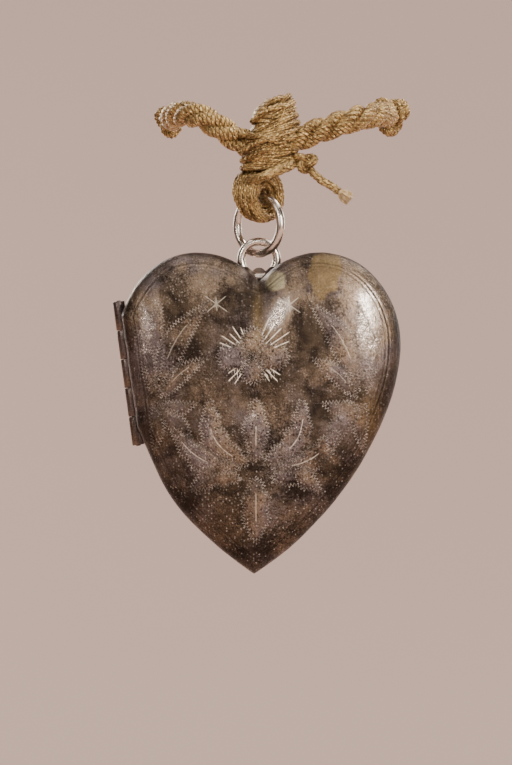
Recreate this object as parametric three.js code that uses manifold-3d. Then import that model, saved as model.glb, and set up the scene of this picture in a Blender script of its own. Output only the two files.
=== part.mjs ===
// A puffed, engraved heart locket of tarnished silver, tied to a gilt cord by its jump ring.
// Millimetres, +Z up, the front cover faces -Y. The origin is the point of the cord's centreline
// that the locket hangs from.
import * as THREE from "three";
import { mergeVertices } from "three/addons/utils/BufferGeometryUtils.js";
import Module from "manifold-3d";

const wasm = await Module();
wasm.setup();

// ---------- driving dimensions ----------

// Heart, seen from the front
const HEART_WIDTH = 28.2;
const HEART_HEIGHT = 32;
const CENTRE_BELOW_TOP = 13; // the point that the domes close on, under the top of the lobes
const CLEFT_DEPTH = 2.7; // from the top of the lobes down to the cleft
const COVER_DEPTH = 5; // each cover, from the seam to the top of its dome
const RIM_BAND = 1.55; // the straight wall beside the seam
const WALL = 0.45;
const PUFF = 2.3; // exponent of the dome's superellipse: more is boxier
const ROUNDNESS = 0.97; // size of the ellipse that the dome's middle swells towards
const TIP_LEAN = 0.5; // how far the tip lies left of the cleft
const LEFT_FULLNESS = 0.6; // how far the left side swells below the hinge
const FULL_FROM = 0.39; // where that swell starts, as a share of the way down to the tip

// Fits
const FIT = 0.1; // between pieces that are soldered or pressed together
const SEAM_GAP = 0.12; // between the two closed covers
const PIN_FIT = 0.06; // all round the pin in its knuckles
const KNUCKLE_GAP = 0.1; // between knuckles, end to end
const GROOVE_FIT = 0.08; // between the knuckles and the covers
const TIE_GAP = 0.15; // between the pieces of the cord

// Snap flange of the back cover, and the rim inside the front cover
const FLANGE_WALL = 0.4;
const FLANGE_PROUD = 0.85; // reaches this far into the front cover
const FLANGE_SEAT = 0.9; // sits this far inside the back cover
const RIM_WALL = 0.35;
const RIM_DEPTH = 0.5;

// Picture frames, windows and cards
const LIP_WIDTH = 1.1;
const LIP_THICKNESS = 0.3;
const SKIRT_WALL = 0.35;
const SKIRT_DEPTH = 0.65;
const WINDOW_THICKNESS = 0.25;
const CARD_THICKNESS = 0.25;

// Hinge, let into a flat on the left side
const HINGE_SINK = 1.48; // how far the flat lies inside the heart's widest point
const HINGE_LEAN = THREE.MathUtils.degToRad(7.9); // the top of the pin leans to the left
const HINGE_LENGTH = 14.4;
const HINGE_DROP = 1; // of its middle below the middle of the flat
const KNUCKLES = 5;
const KNUCKLE_RADIUS = 0.6;
const PIN_RADIUS = 0.28;
const PIN_PROUD = 0.15; // at each end
const LEAF_LENGTH = 4.6;

// Bail and jump ring
const WIRE = 0.43; // radius of the wire
const BAIL_RADIUS = 1.78; // to the middle of the wire, as on the jump ring
const BAIL_SEAT = 0.16; // the bail's wire sinks this far into the cleft
const BAIL_Y = 0;
const RING_RADIUS = 2.87;
const RING_TURN = THREE.MathUtils.degToRad(-41);
const RING_X = 0.2;
const LINK_GAP = 0.34; // between the wires of the two rings, at rest
const LUG_RADIUS = 0.75;
const LUG_LENGTH = 0.9;
const LUG_RISE = 0.25; // of the lug's axis above the middle of the bail's lowest wire

// Cord
const CORD_RADIUS = 1.3;
const BIGHT_RADIUS = 1.6; // of the loop through the jump ring, to the middle of its band
const BIGHT_HALF_THICKNESS = 0.95;
const BIGHT_HALF_WIDTH = 1.35;
const BIGHT_BELOW_CORD = 5.13;
const LASHING_HEIGHT = 3.6; // half of the height of the turns round the cord
const LASHING_DEPTH = 2.9; // half of their depth, front to back
const LASHING_RISE = 1.4; // of its middle above the cord
const LASHING_START = -1.2; // its ends, in route points past the hold
const LASHING_END = 2.8;
const LASHING_END_SIZE = 0.72; // of its ends against its middle
const LASHING_END_RISE = 0.4;
const KNOT_SIZE = new THREE.Vector3(1.55, 1.15, 1.1);
const KNOT_PLACE = new THREE.Vector3(4.75, -1, -1.8);
const TAIL_RADIUS = 0.42;
const TUFT_RADIUS = 0.75; // where it is widest
const TUFT_LENGTH = 1.5;
const TUFT_WIDEST = 0.6; // share of its length up to its widest place
const TUFT_END = 0.6; // radius of its far end, as a share of the widest
const LEFT_END_KNOT = 1.8; // radius
const RIGHT_END_KNOT = 2.2;
const CORD_SIDES = 8;
const CORD_STEPS = 16;
const LASHING_AROUND = 16;
const BIGHT_SIDES = 8;
const BIGHT_STEPS = 16;

const cordRoute = [
  [-8.75, 9.7, 3.35],
  [-8.6, 7.9, 3.4],
  [-8.3, 6.1, 3.45],
  [-7.8, 4.4, 3.45],
  [-7.1, 2.9, 3.35],
  [-6.2, 1.6, 3.1],
  [-5.1, 0.7, 2.6],
  [-3.9, 0.2, 1.85],
  [-2.6, 0.05, 0.95],
  [-1.3, 0, 0.3],
  [0, 0, 0],
  [1.4, 0, -0.02],
  [2.8, 0, 0.22],
  [4.2, 0, 0.68],
  [5.6, 0.05, 1.2],
  [7.2, 0.35, 1.8],
  [8.9, 1, 2.4],
  [10.4, 2.1, 2.9],
  [11.6, 3.5, 3.2],
  [12.5, 5.2, 3.45],
  [13, 7, 3.6],
  [13.3, 8.7, 3.7],
].map((point) => new THREE.Vector3(...point));

const tailRoute = [
  [5.75, -1, -3],
  [6.5, -1.05, -3.65],
  [7.4, -1.05, -4.15],
  [8.15, -1, -4.7],
].map((point) => new THREE.Vector3(...point));

// ---------- materials ----------

const material = (color, metalness, roughness) =>
  new THREE.MeshStandardMaterial({ color, metalness, roughness });
const tarnishedSilver = material(0x7d7166, 0.9, 0.42);
const silverWire = material(0x9a938a, 0.95, 0.3);
const giltBrass = material(0xb08d4c, 0.95, 0.35);
const celluloid = material(0xe8e2c8, 0, 0.1);
const agedCard = material(0xcdb98f, 0, 0.9);
const steel = material(0x8d8c88, 0.95, 0.35);
const giltThread = material(0xa9823f, 0.6, 0.5);
const cottonCore = material(0xcfa859, 0, 0.9);

// ---------- solids ----------

const X = new THREE.Vector3(1, 0, 0);
const Y = new THREE.Vector3(0, 1, 0);
const Z = new THREE.Vector3(0, 0, 1);

// A geometry with nothing but merged positions and faces.
function bare(geometry) {
  const plain = geometry.clone();
  for (const name of Object.keys(plain.attributes)) {
    if (name !== "position") plain.deleteAttribute(name);
  }
  return mergeVertices(plain, 1e-4);
}

function solidOf(geometry) {
  const { attributes, index } = bare(geometry);
  const mesh = new wasm.Mesh({
    numProp: 3,
    vertProperties: attributes.position.array,
    triVerts: new Uint32Array(index.array),
  });
  return new wasm.Manifold(mesh);
}

function geometryOf(solid) {
  const { numProp, numVert, vertProperties, triVerts } = solid.getMesh();
  const points = new Float32Array(numVert * 3);
  for (let i = 0; i < numVert; i++) {
    points.set(vertProperties.subarray(i * numProp, i * numProp + 3), i * 3);
  }
  const geometry = new THREE.BufferGeometry();
  geometry.setAttribute("position", new THREE.BufferAttribute(points, 3));
  geometry.setIndex(new THREE.BufferAttribute(triVerts, 1));
  geometry.computeVertexNormals();
  return geometry;
}

function cut(geometry, ...tools) {
  const kept = tools.reduce((solid, tool) => solid.subtract(solidOf(tool)), solidOf(geometry));
  return geometryOf(kept);
}

// Six times the volume that the faces enclose, negative when they point inwards.
function signedVolume(points, faces) {
  let sum = 0;
  for (let i = 0; i < faces.length; i += 3) {
    const [a, b, c] = [faces[i], faces[i + 1], faces[i + 2]].map((k) => points[k]);
    sum += a.dot(b.clone().cross(c));
  }
  return sum;
}

// A closed surface through rings that all have the same number of points. It closes in a pole
// at each end, or, without poles, runs from the last ring back to the first.
function skin(rings, poles = []) {
  const around = rings[0].length;
  const points = [...rings.flat(), ...poles];
  const spans = poles.length ? rings.length - 1 : rings.length;
  const faces = [];
  for (let r = 0; r < spans; r++) {
    const low = r * around;
    const high = ((r + 1) % rings.length) * around;
    for (let i = 0; i < around; i++) {
      const next = (i + 1) % around;
      faces.push(low + i, low + next, high + next, low + i, high + next, high + i);
    }
  }
  if (poles.length) {
    const last = (rings.length - 1) * around;
    for (let i = 0; i < around; i++) {
      const next = (i + 1) % around;
      faces.push(points.length - 2, next, i, points.length - 1, last + i, last + next);
    }
  }
  if (signedVolume(points, faces) < 0) faces.reverse();
  const geometry = new THREE.BufferGeometry().setFromPoints(points);
  geometry.setIndex(faces);
  geometry.computeVertexNormals();
  return geometry;
}

const piece = new THREE.Group();
const locket = new THREE.Group();
piece.add(locket);

function add(group, name, geometry, finish) {
  const mesh = new THREE.Mesh(geometry, finish);
  mesh.name = name;
  group.add(mesh);
  return mesh;
}

// ---------- the heart's outline, round its own centre ----------

const HALF = HEART_WIDTH / 2;
const TOP = CENTRE_BELOW_TOP;
const TIP = TOP - HEART_HEIGHT;
const CLEFT = TOP - CLEFT_DEPTH;
const below = (share) => TOP - share * HEART_HEIGHT;
const onHeart = (x, y) => new THREE.Vector2(x, y);

const curves = [
  new THREE.CubicBezierCurve(
    onHeart(0, CLEFT),
    onHeart(0.106 * HALF, TOP - CLEFT_DEPTH / 2),
    onHeart(0.241 * HALF, TOP),
    onHeart(0.433 * HALF, TOP),
  ),
  new THREE.CubicBezierCurve(
    onHeart(0.433 * HALF, TOP),
    onHeart(0.752 * HALF, TOP),
    onHeart(HALF, below(0.131)),
    onHeart(HALF, below(0.2875)),
  ),
  new THREE.CubicBezierCurve(
    onHeart(HALF, below(0.2875)),
    onHeart(HALF, below(0.516)),
    onHeart(0.539 * HALF, below(0.85)),
    onHeart(0, TIP),
  ),
];
const SEGMENTS = [7, 10, 11]; // cleft to lobe, lobe to shoulder, shoulder to tip
const rightSide = curves.flatMap((curve, k) => curve.getPoints(SEGMENTS[k]).slice(0, -1));
const leftSide = rightSide.slice(1).reverse().map((p) => onHeart(-p.x, p.y));
const WIDEST = below(0.2875);

// The handmade heart isn't quite even: its tip leans left, and its lower left side is fuller.
function uneven(p) {
  const share = THREE.MathUtils.clamp((WIDEST - p.y) / (WIDEST - TIP), 0, 1);
  const swell = Math.max(0, (share - FULL_FROM) / (1 - FULL_FROM));
  const left = p.x < 0 ? LEFT_FULLNESS * Math.sin(Math.PI * swell) ** 2 : 0;
  return onHeart(p.x - TIP_LEAN * share ** 2.5 - left, p.y);
}
const wholeHeart = [...rightSide, onHeart(0, TIP), ...leftSide].map(uneven);

// The flat for the hinge: its outward direction, and the direction that the pin runs in
const flatOut = onHeart(-Math.cos(HINGE_LEAN), -Math.sin(HINGE_LEAN));
const pinUp = onHeart(-Math.sin(HINGE_LEAN), Math.cos(HINGE_LEAN));
const FLAT = HALF - HINGE_SINK;
// The pin's axis stands outside the flat, so that the knuckles' groove ends short of the flange.
const AXIS_PROUD = KNUCKLE_RADIUS + GROOVE_FIT - WALL - FIT / 2;
const beyondFlat = wholeHeart.filter((p) => p.dot(flatOut) > FLAT);
const heart = wholeHeart.map((p) => {
  const reach = p.dot(flatOut);
  return reach > FLAT ? p.clone().multiplyScalar(FLAT / reach) : p;
});
const flatSpan = beyondFlat.map((p) => p.dot(pinUp));
const HINGE_MIDDLE = (Math.min(...flatSpan) + Math.max(...flatSpan)) / 2 - HINGE_DROP;

// The outline moved inwards by a constant distance, mitred at each point.
function inset(distance) {
  return heart.map((p, i) => {
    const before = heart[(i + heart.length - 1) % heart.length];
    const after = heart[(i + 1) % heart.length];
    const a = p.clone().sub(before).normalize();
    const b = after.clone().sub(p).normalize();
    const along = a.clone().add(b).normalize();
    const inward = onHeart(along.y, -along.x);
    const mitre = Math.max(0.5, inward.x * a.y - inward.y * a.x);
    return p.clone().addScaledVector(inward, distance / mitre);
  });
}

const at = (outline, y) => outline.map((p) => new THREE.Vector3(p.x, y, p.y));

// One ring of the dome: the outline drawn in by share, and rounder the further in it lies.
function domeRing(outline, share, y) {
  const across = ROUNDNESS * HALF;
  const up = (ROUNDNESS * HEART_HEIGHT) / 2;
  const keep = THREE.MathUtils.smoothstep(share, 0, 1);
  return outline.map((p) => {
    const angle = Math.atan2(p.y, p.x);
    const round = 1 / Math.hypot(Math.cos(angle) / across, Math.sin(angle) / up);
    const reach = share * (keep * p.length() + (1 - keep) * round);
    return new THREE.Vector3(reach * Math.cos(angle), y, reach * Math.sin(angle));
  });
}

// A domed surface as rings from near its crown down to its mouth. side is -1 in front, 1 behind.
function dome(side, distance, steps) {
  const outline = inset(distance);
  const crown = COVER_DEPTH - distance;
  const rings = [];
  for (let k = 1; k <= steps; k++) {
    const turn = ((k / steps) * Math.PI) / 2;
    const share = k === steps ? 1 : Math.sin(turn) ** (2 / PUFF);
    const rise = k === steps ? 0 : Math.cos(turn) ** (2 / PUFF);
    rings.push(domeRing(outline, share, side * (RIM_BAND + (crown - RIM_BAND) * rise)));
  }
  rings.push(at(outline, (side * SEAM_GAP) / 2));
  return { rings, pole: new THREE.Vector3(0, side * crown, 0) };
}

function cover(side) {
  const outside = dome(side, 0, 7);
  const inside = dome(side, WALL, 6);
  return skin([...outside.rings, ...inside.rings.reverse()], [outside.pole, inside.pole]);
}

// A filled dome that stands FIT proud of the cover and across the seam, to cut what is soldered
// to the cover.
function coverTool(side) {
  const { rings, pole } = dome(side, -FIT, 7);
  const past = -side * SEAM_GAP;
  return skin([...rings, at(inset(-FIT), past)], [pole, new THREE.Vector3(0, past, 0)]);
}

const band = (outer, inner, y0, y1) =>
  skin([at(inset(outer), y0), at(inset(outer), y1), at(inset(inner), y1), at(inset(inner), y0)]);

const plate = (distance, y0, y1) =>
  skin(
    [at(inset(distance), y0), at(inset(distance), y1)],
    [new THREE.Vector3(0, y0, 0), new THREE.Vector3(0, y1, 0)],
  );

// ---------- covers ----------

// A geometry made about +Y, with +X into the heart, laid along the hinge's axis.
function onHinge(geometry, along) {
  const reach = FLAT + AXIS_PROUD;
  const place = flatOut.clone().multiplyScalar(reach).addScaledVector(pinUp, along);
  const inwards = new THREE.Vector3(-flatOut.x, 0, -flatOut.y);
  const upwards = new THREE.Vector3(pinUp.x, 0, pinUp.y);
  const turn = new THREE.Matrix4().makeBasis(inwards, upwards, Y.clone().negate());
  return geometry.applyMatrix4(turn).translate(place.x, 0, place.y);
}

const cylinder = (radius, length, sides) =>
  new THREE.CylinderGeometry(radius, radius, length, sides);
const groove = onHinge(
  cylinder(KNUCKLE_RADIUS + GROOVE_FIT, HINGE_LENGTH + 2 * KNUCKLE_GAP, 24),
  HINGE_MIDDLE,
);
const bailCentre = CLEFT - BAIL_SEAT + WIRE + BAIL_RADIUS;
const bailRing = (wire) =>
  bare(new THREE.TorusGeometry(BAIL_RADIUS, wire, 8, 28))
    .rotateX(Math.PI / 2)
    .translate(0, BAIL_Y, bailCentre);

add(locket, "front_cover", cut(cover(-1), groove, bailRing(WIRE + FIT)), tarnishedSilver);
add(locket, "back_cover", cut(cover(1), groove, bailRing(WIRE + FIT)), tarnishedSilver);

const FLANGE_OUTER = WALL + FIT;
const FLANGE_INNER = FLANGE_OUTER + FLANGE_WALL;
const flange = band(FLANGE_OUTER, FLANGE_INNER, -FLANGE_PROUD, FLANGE_SEAT);
add(locket, "snap_flange", cut(flange, bailRing(WIRE + FIT)), giltBrass);

const RIM_Y = -FLANGE_PROUD - SEAM_GAP;
const RIM_INNER = FLANGE_OUTER + RIM_WALL;
const frontRim = band(FLANGE_OUTER, RIM_INNER, RIM_Y - RIM_DEPTH, RIM_Y);
add(locket, "front_rim", frontRim, giltBrass);

// ---------- pictures ----------

// A frame: a lip over the window's edge, and a skirt round the window and the card. The lip's
// face lies at y, and the rest lies behind it in the direction of side.
function pictureFrame(outer, y, side) {
  const lipBack = y + side * LIP_THICKNESS;
  const skirtEnd = lipBack + side * SKIRT_DEPTH;
  const outside = inset(outer);
  const throat = inset(outer + SKIRT_WALL);
  const sight = inset(outer + LIP_WIDTH);
  return skin([
    at(outside, y),
    at(outside, skirtEnd),
    at(throat, skirtEnd),
    at(throat, lipBack),
    at(sight, lipBack),
    at(sight, y),
  ]);
}

function addPicture(name, outer, y, side) {
  const inner = outer + SKIRT_WALL + FIT;
  const window = y + side * (LIP_THICKNESS + FIT / 2);
  const card = window + side * (WINDOW_THICKNESS + FIT / 2);
  add(locket, `${name}_picture_frame`, pictureFrame(outer, y, side), giltBrass);
  add(locket, `${name}_window`, plate(inner, window, window + side * WINDOW_THICKNESS), celluloid);
  add(locket, `${name}_picture_card`, plate(inner, card, card + side * CARD_THICKNESS), agedCard);
}

addPicture("back", FLANGE_INNER + FIT, -FLANGE_PROUD + FIT / 2, 1);
addPicture("front", RIM_INNER + FIT, RIM_Y - FIT / 2, -1);

// ---------- hinge ----------

const KNUCKLE_LENGTH = (HINGE_LENGTH - (KNUCKLES - 1) * KNUCKLE_GAP) / KNUCKLES;

function knuckle() {
  const bore = PIN_RADIUS + PIN_FIT;
  const end = KNUCKLE_LENGTH / 2;
  const profile = [
    new THREE.Vector2(bore, -end),
    new THREE.Vector2(KNUCKLE_RADIUS, -end),
    new THREE.Vector2(KNUCKLE_RADIUS, end),
    new THREE.Vector2(bore, end),
    new THREE.Vector2(bore, -end),
  ];
  return bare(new THREE.LatheGeometry(profile, 20));
}

for (let k = 0; k < KNUCKLES; k++) {
  const along = HINGE_MIDDLE + (k - (KNUCKLES - 1) / 2) * (KNUCKLE_LENGTH + KNUCKLE_GAP);
  const owner = k % 2 === 0 ? "back" : "front";
  add(locket, `knuckle_${k + 1}_${owner}`, onHinge(knuckle(), along), tarnishedSilver);
}
add(
  locket,
  "hinge_pin",
  onHinge(cylinder(PIN_RADIUS, HINGE_LENGTH + 2 * PIN_PROUD, 20), HINGE_MIDDLE),
  steel,
);

// The leaf fills the wedge between the lower knuckles and the cover's side.
function leaf(side) {
  const width = HALF / 2; // ends well inside the heart, where the cover tool takes it off
  const block = new THREE.BoxGeometry(width, LEAF_LENGTH, KNUCKLE_RADIUS);
  block.translate(width / 2, 0, 0);
  const along = HINGE_MIDDLE - HINGE_LENGTH / 2 + LEAF_LENGTH / 2;
  const middle = (side * (KNUCKLE_RADIUS + SEAM_GAP)) / 2;
  return cut(onHinge(block, along).translate(0, middle, 0), coverTool(side), groove);
}
add(locket, "hinge_leaf_front", leaf(-1), tarnishedSilver);
add(locket, "hinge_leaf_back", leaf(1), tarnishedSilver);

// ---------- bail and jump ring ----------

add(locket, "bail_ring", bailRing(WIRE), silverWire);
const lug = cylinder(LUG_RADIUS, LUG_LENGTH, 16).translate(
  0,
  BAIL_Y + WIRE + FIT + LUG_LENGTH / 2,
  bailCentre - BAIL_RADIUS + LUG_RISE,
);
add(locket, "bail_lug", cut(lug, coverTool(1), bailRing(WIRE + FIT)), tarnishedSilver);

const ringCentre = -BIGHT_BELOW_CORD - RING_RADIUS;
const jumpRing = add(
  piece,
  "jump_ring",
  bare(new THREE.TorusGeometry(RING_RADIUS, WIRE, 8, 32)).rotateX(Math.PI / 2),
  silverWire,
);
jumpRing.rotation.z = RING_TURN;
jumpRing.position.set(RING_X, 0, ringCentre);

// The bail's top wire hangs on the jump ring's bottom wire, and LINK_GAP apart from it.
const bailTop = ringCentre - RING_RADIUS + 2 * WIRE + LINK_GAP;
locket.position.set(RING_X, 0, bailTop - BAIL_RADIUS - bailCentre);

// ---------- cord ----------

const HOLD = cordRoute.findIndex((point) => point.length() === 0);
const cord = new THREE.CatmullRomCurve3(cordRoute);

function tube(route, radius, steps) {
  const section = new THREE.Shape();
  for (let k = 0; k < CORD_SIDES; k++) {
    const angle = (k * 2 * Math.PI) / CORD_SIDES;
    const corner = [radius * Math.cos(angle), radius * Math.sin(angle)];
    if (k === 0) section.moveTo(...corner);
    else section.lineTo(...corner);
  }
  section.closePath();
  return bare(new THREE.ExtrudeGeometry(section, { steps, extrudePath: route }));
}

// The cord at a number of route points past the hold, with its two directions across.
function cordAt(points) {
  const place = (HOLD + points) / (cordRoute.length - 1);
  const up = new THREE.Vector3().crossVectors(cord.getTangent(place), Y).normalize();
  return { centre: cord.getPoint(place), up };
}

// A ring round the cord, of half-height up and half-depth along Y, raised by rise.
function lashingRing({ centre, up }, high, deep, rise) {
  return Array.from({ length: LASHING_AROUND }, (_, k) => {
    const angle = (k * 2 * Math.PI) / LASHING_AROUND;
    return centre
      .clone()
      .addScaledVector(up, rise + high * Math.sin(angle))
      .addScaledVector(Y, deep * Math.cos(angle));
  });
}

// The turns lashed round the cord, as one sleeve that the cord runs through.
function lashing() {
  const steps = 8;
  const outside = [];
  const inside = [];
  for (let k = 0; k <= steps; k++) {
    const across = (2 * k) / steps - 1;
    const swell = Math.sqrt(1 - across * across);
    const share = THREE.MathUtils.lerp(LASHING_END_SIZE, 1, swell);
    const rise = LASHING_RISE * THREE.MathUtils.lerp(LASHING_END_RISE, 1, swell);
    const station = cordAt(THREE.MathUtils.lerp(LASHING_START, LASHING_END, k / steps));
    const bore = CORD_RADIUS + TIE_GAP;
    outside.push(lashingRing(station, LASHING_HEIGHT * share, LASHING_DEPTH * share, rise));
    inside.push(lashingRing(station, bore, bore, 0));
  }
  return skin([...outside, ...inside.reverse()]);
}

const knot = (grow) =>
  bare(new THREE.SphereGeometry(1, 14, 9))
    .scale(KNOT_SIZE.x + grow, KNOT_SIZE.y + grow, KNOT_SIZE.z + grow)
    .translate(...KNOT_PLACE.toArray());

// The loop of strands that carries the jump ring, round its wire.
function bight() {
  const across = X.clone().applyAxisAngle(Z, RING_TURN);
  const outward = new THREE.Vector3().crossVectors(Z, across);
  const rings = [];
  for (let k = 0; k < BIGHT_STEPS; k++) {
    const turn = (k * 2 * Math.PI) / BIGHT_STEPS;
    const radial = Z.clone().multiplyScalar(Math.cos(turn)).addScaledVector(outward, Math.sin(turn));
    const section = [];
    for (let j = 0; j < BIGHT_SIDES; j++) {
      const angle = (j * 2 * Math.PI) / BIGHT_SIDES;
      section.push(
        new THREE.Vector3(RING_X, 0, -BIGHT_BELOW_CORD)
          .addScaledVector(radial, BIGHT_RADIUS + BIGHT_HALF_THICKNESS * Math.cos(angle))
          .addScaledVector(across, BIGHT_HALF_WIDTH * Math.sin(angle)),
      );
    }
    rings.push(section);
  }
  return skin(rings);
}

function endKnot(end, radius) {
  const out = cord.getTangent(end).multiplyScalar(end === 0 ? -1 : 1);
  const centre = cord.getPoint(end).addScaledVector(out, radius + TIE_GAP);
  return bare(new THREE.SphereGeometry(radius, 12, 8)).translate(...centre.toArray());
}

add(piece, "cord", tube(cord, CORD_RADIUS, CORD_STEPS), giltThread);
add(piece, "cord_lashing", cut(lashing(), knot(TIE_GAP)), giltThread);
add(piece, "cord_bight", bight(), giltThread);
add(piece, "side_knot", knot(0), giltThread);
const tail = new THREE.CatmullRomCurve3(tailRoute);
add(piece, "cord_tail", cut(tube(tail, TAIL_RADIUS, 4), knot(TIE_GAP)), giltThread);

const tuftProfile = [
  new THREE.Vector2(0, 0),
  new THREE.Vector2(TAIL_RADIUS, 0),
  new THREE.Vector2(TUFT_RADIUS, TUFT_WIDEST * TUFT_LENGTH),
  new THREE.Vector2(TUFT_END * TUFT_RADIUS, TUFT_LENGTH),
  new THREE.Vector2(0, TUFT_LENGTH),
];
const tailEnd = tail.getTangent(1);
const tuft = bare(new THREE.LatheGeometry(tuftProfile, 10))
  .applyQuaternion(new THREE.Quaternion().setFromUnitVectors(Y, tailEnd))
  .translate(...tail.getPoint(1).addScaledVector(tailEnd, TIE_GAP).toArray());
add(piece, "tail_tuft", tuft, cottonCore);
add(piece, "left_end_knot", endKnot(0, LEFT_END_KNOT), giltThread);
add(piece, "right_end_knot", endKnot(1, RIGHT_END_KNOT), giltThread);

export default piece;
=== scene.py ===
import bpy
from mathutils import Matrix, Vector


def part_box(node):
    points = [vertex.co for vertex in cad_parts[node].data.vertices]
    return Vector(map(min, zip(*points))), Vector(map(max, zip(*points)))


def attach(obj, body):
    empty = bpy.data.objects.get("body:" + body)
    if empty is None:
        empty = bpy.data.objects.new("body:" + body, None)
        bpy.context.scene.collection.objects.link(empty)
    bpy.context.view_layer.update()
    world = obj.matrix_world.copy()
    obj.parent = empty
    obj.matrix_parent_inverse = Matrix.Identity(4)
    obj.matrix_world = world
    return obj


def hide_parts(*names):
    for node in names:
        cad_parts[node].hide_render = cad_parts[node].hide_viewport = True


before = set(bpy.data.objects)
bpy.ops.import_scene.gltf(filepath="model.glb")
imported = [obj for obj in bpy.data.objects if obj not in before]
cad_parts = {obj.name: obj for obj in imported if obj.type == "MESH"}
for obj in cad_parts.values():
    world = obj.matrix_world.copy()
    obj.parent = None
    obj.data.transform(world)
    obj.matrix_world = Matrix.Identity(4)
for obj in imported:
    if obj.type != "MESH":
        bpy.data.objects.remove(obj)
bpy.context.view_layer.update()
import math
import random

import bmesh
import bpy
import numpy as np
from mathutils import Vector, noise

MM = 0.001

# ---------------------------------------------------------------- sizes, in millimetres

HALF = 14.1  # half of the heart's width
HEIGHT = 32.0
TOP = 13.0  # the top of the lobes, above the heart's centre
CLEFT = 2.7  # depth of the cleft below the top of the lobes
DEPTH = 5.0  # of each cover
BAND = 1.55  # the straight wall beside the seam
WALL = 0.45
PUFF = 2.3  # exponent of the dome's superellipse
ROUNDNESS = 0.97  # size of the oval that the dome's middle swells towards
TIP_LEAN = 0.5  # how far the tip lies left of the cleft
LEFT_FULLNESS = 0.6  # swell of the left side below the hinge
FULL_FROM = 0.39  # where that swell starts, as a share of the way down to the tip
WIDEST = 0.2875  # share of the height, from the top, at which the heart is widest
SEAM = 0.12  # gap between the closed covers
FLAT = HALF - 1.48
LEAN = math.radians(7.9)
KNUCKLE = 0.6
GROOVE = 0.68  # radius of the groove that the knuckles lie in
HINGE_REACH = 7.3  # of that groove, each way from the middle of the pin
BAIL_CLEARANCE = 0.06  # round the bail's wire, in the covers and the bands
HINGE_AXIS = FLAT + KNUCKLE + 0.08 - WALL - 0.05
HEART = Vector((0.2, 0, -23.8))  # the heart's centre
WIRE = 0.43  # radius
BAIL = Vector((0.2, 0, -11.45))
BAIL_RADIUS = 1.78
RING = Vector((0.2, 0, -8.0))
RING_RADIUS = 2.87
RING_TURN = math.radians(-41)
ALONG_RING = Vector((math.cos(RING_TURN), math.sin(RING_TURN), 0))
ACROSS_RING = Vector((-math.sin(RING_TURN), math.cos(RING_TURN), 0))


# ---------------------------------------------------------------- camera and lamps


def make_camera():
    data = bpy.data.cameras.new("camera")
    camera = bpy.data.objects.new("camera", data)
    bpy.context.scene.collection.objects.link(camera)
    bpy.context.scene.camera = camera
    distance = 350
    field_height = 76.5
    data.lens = data.sensor_width * distance / field_height
    camera.location = Vector((-0.1, -distance, -23.75)) * MM
    camera.rotation_euler = (math.pi / 2, 0, 0)
    data.clip_start = 0.01
    data.clip_end = 20


def make_light(name, place, aim, size, power, colour):
    data = bpy.data.lights.new(name, "AREA")
    data.shape = "RECTANGLE"
    data.size, data.size_y = size
    data.energy = power
    data.color = colour
    light = bpy.data.objects.new(name, data)
    light.location = place
    light.rotation_mode = "QUATERNION"
    light.rotation_quaternion = (Vector(aim) - Vector(place)).to_track_quat("-Z", "Y")
    bpy.context.scene.collection.objects.link(light)


make_camera()


# ---------------------------------------------------------------- materials


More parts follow.
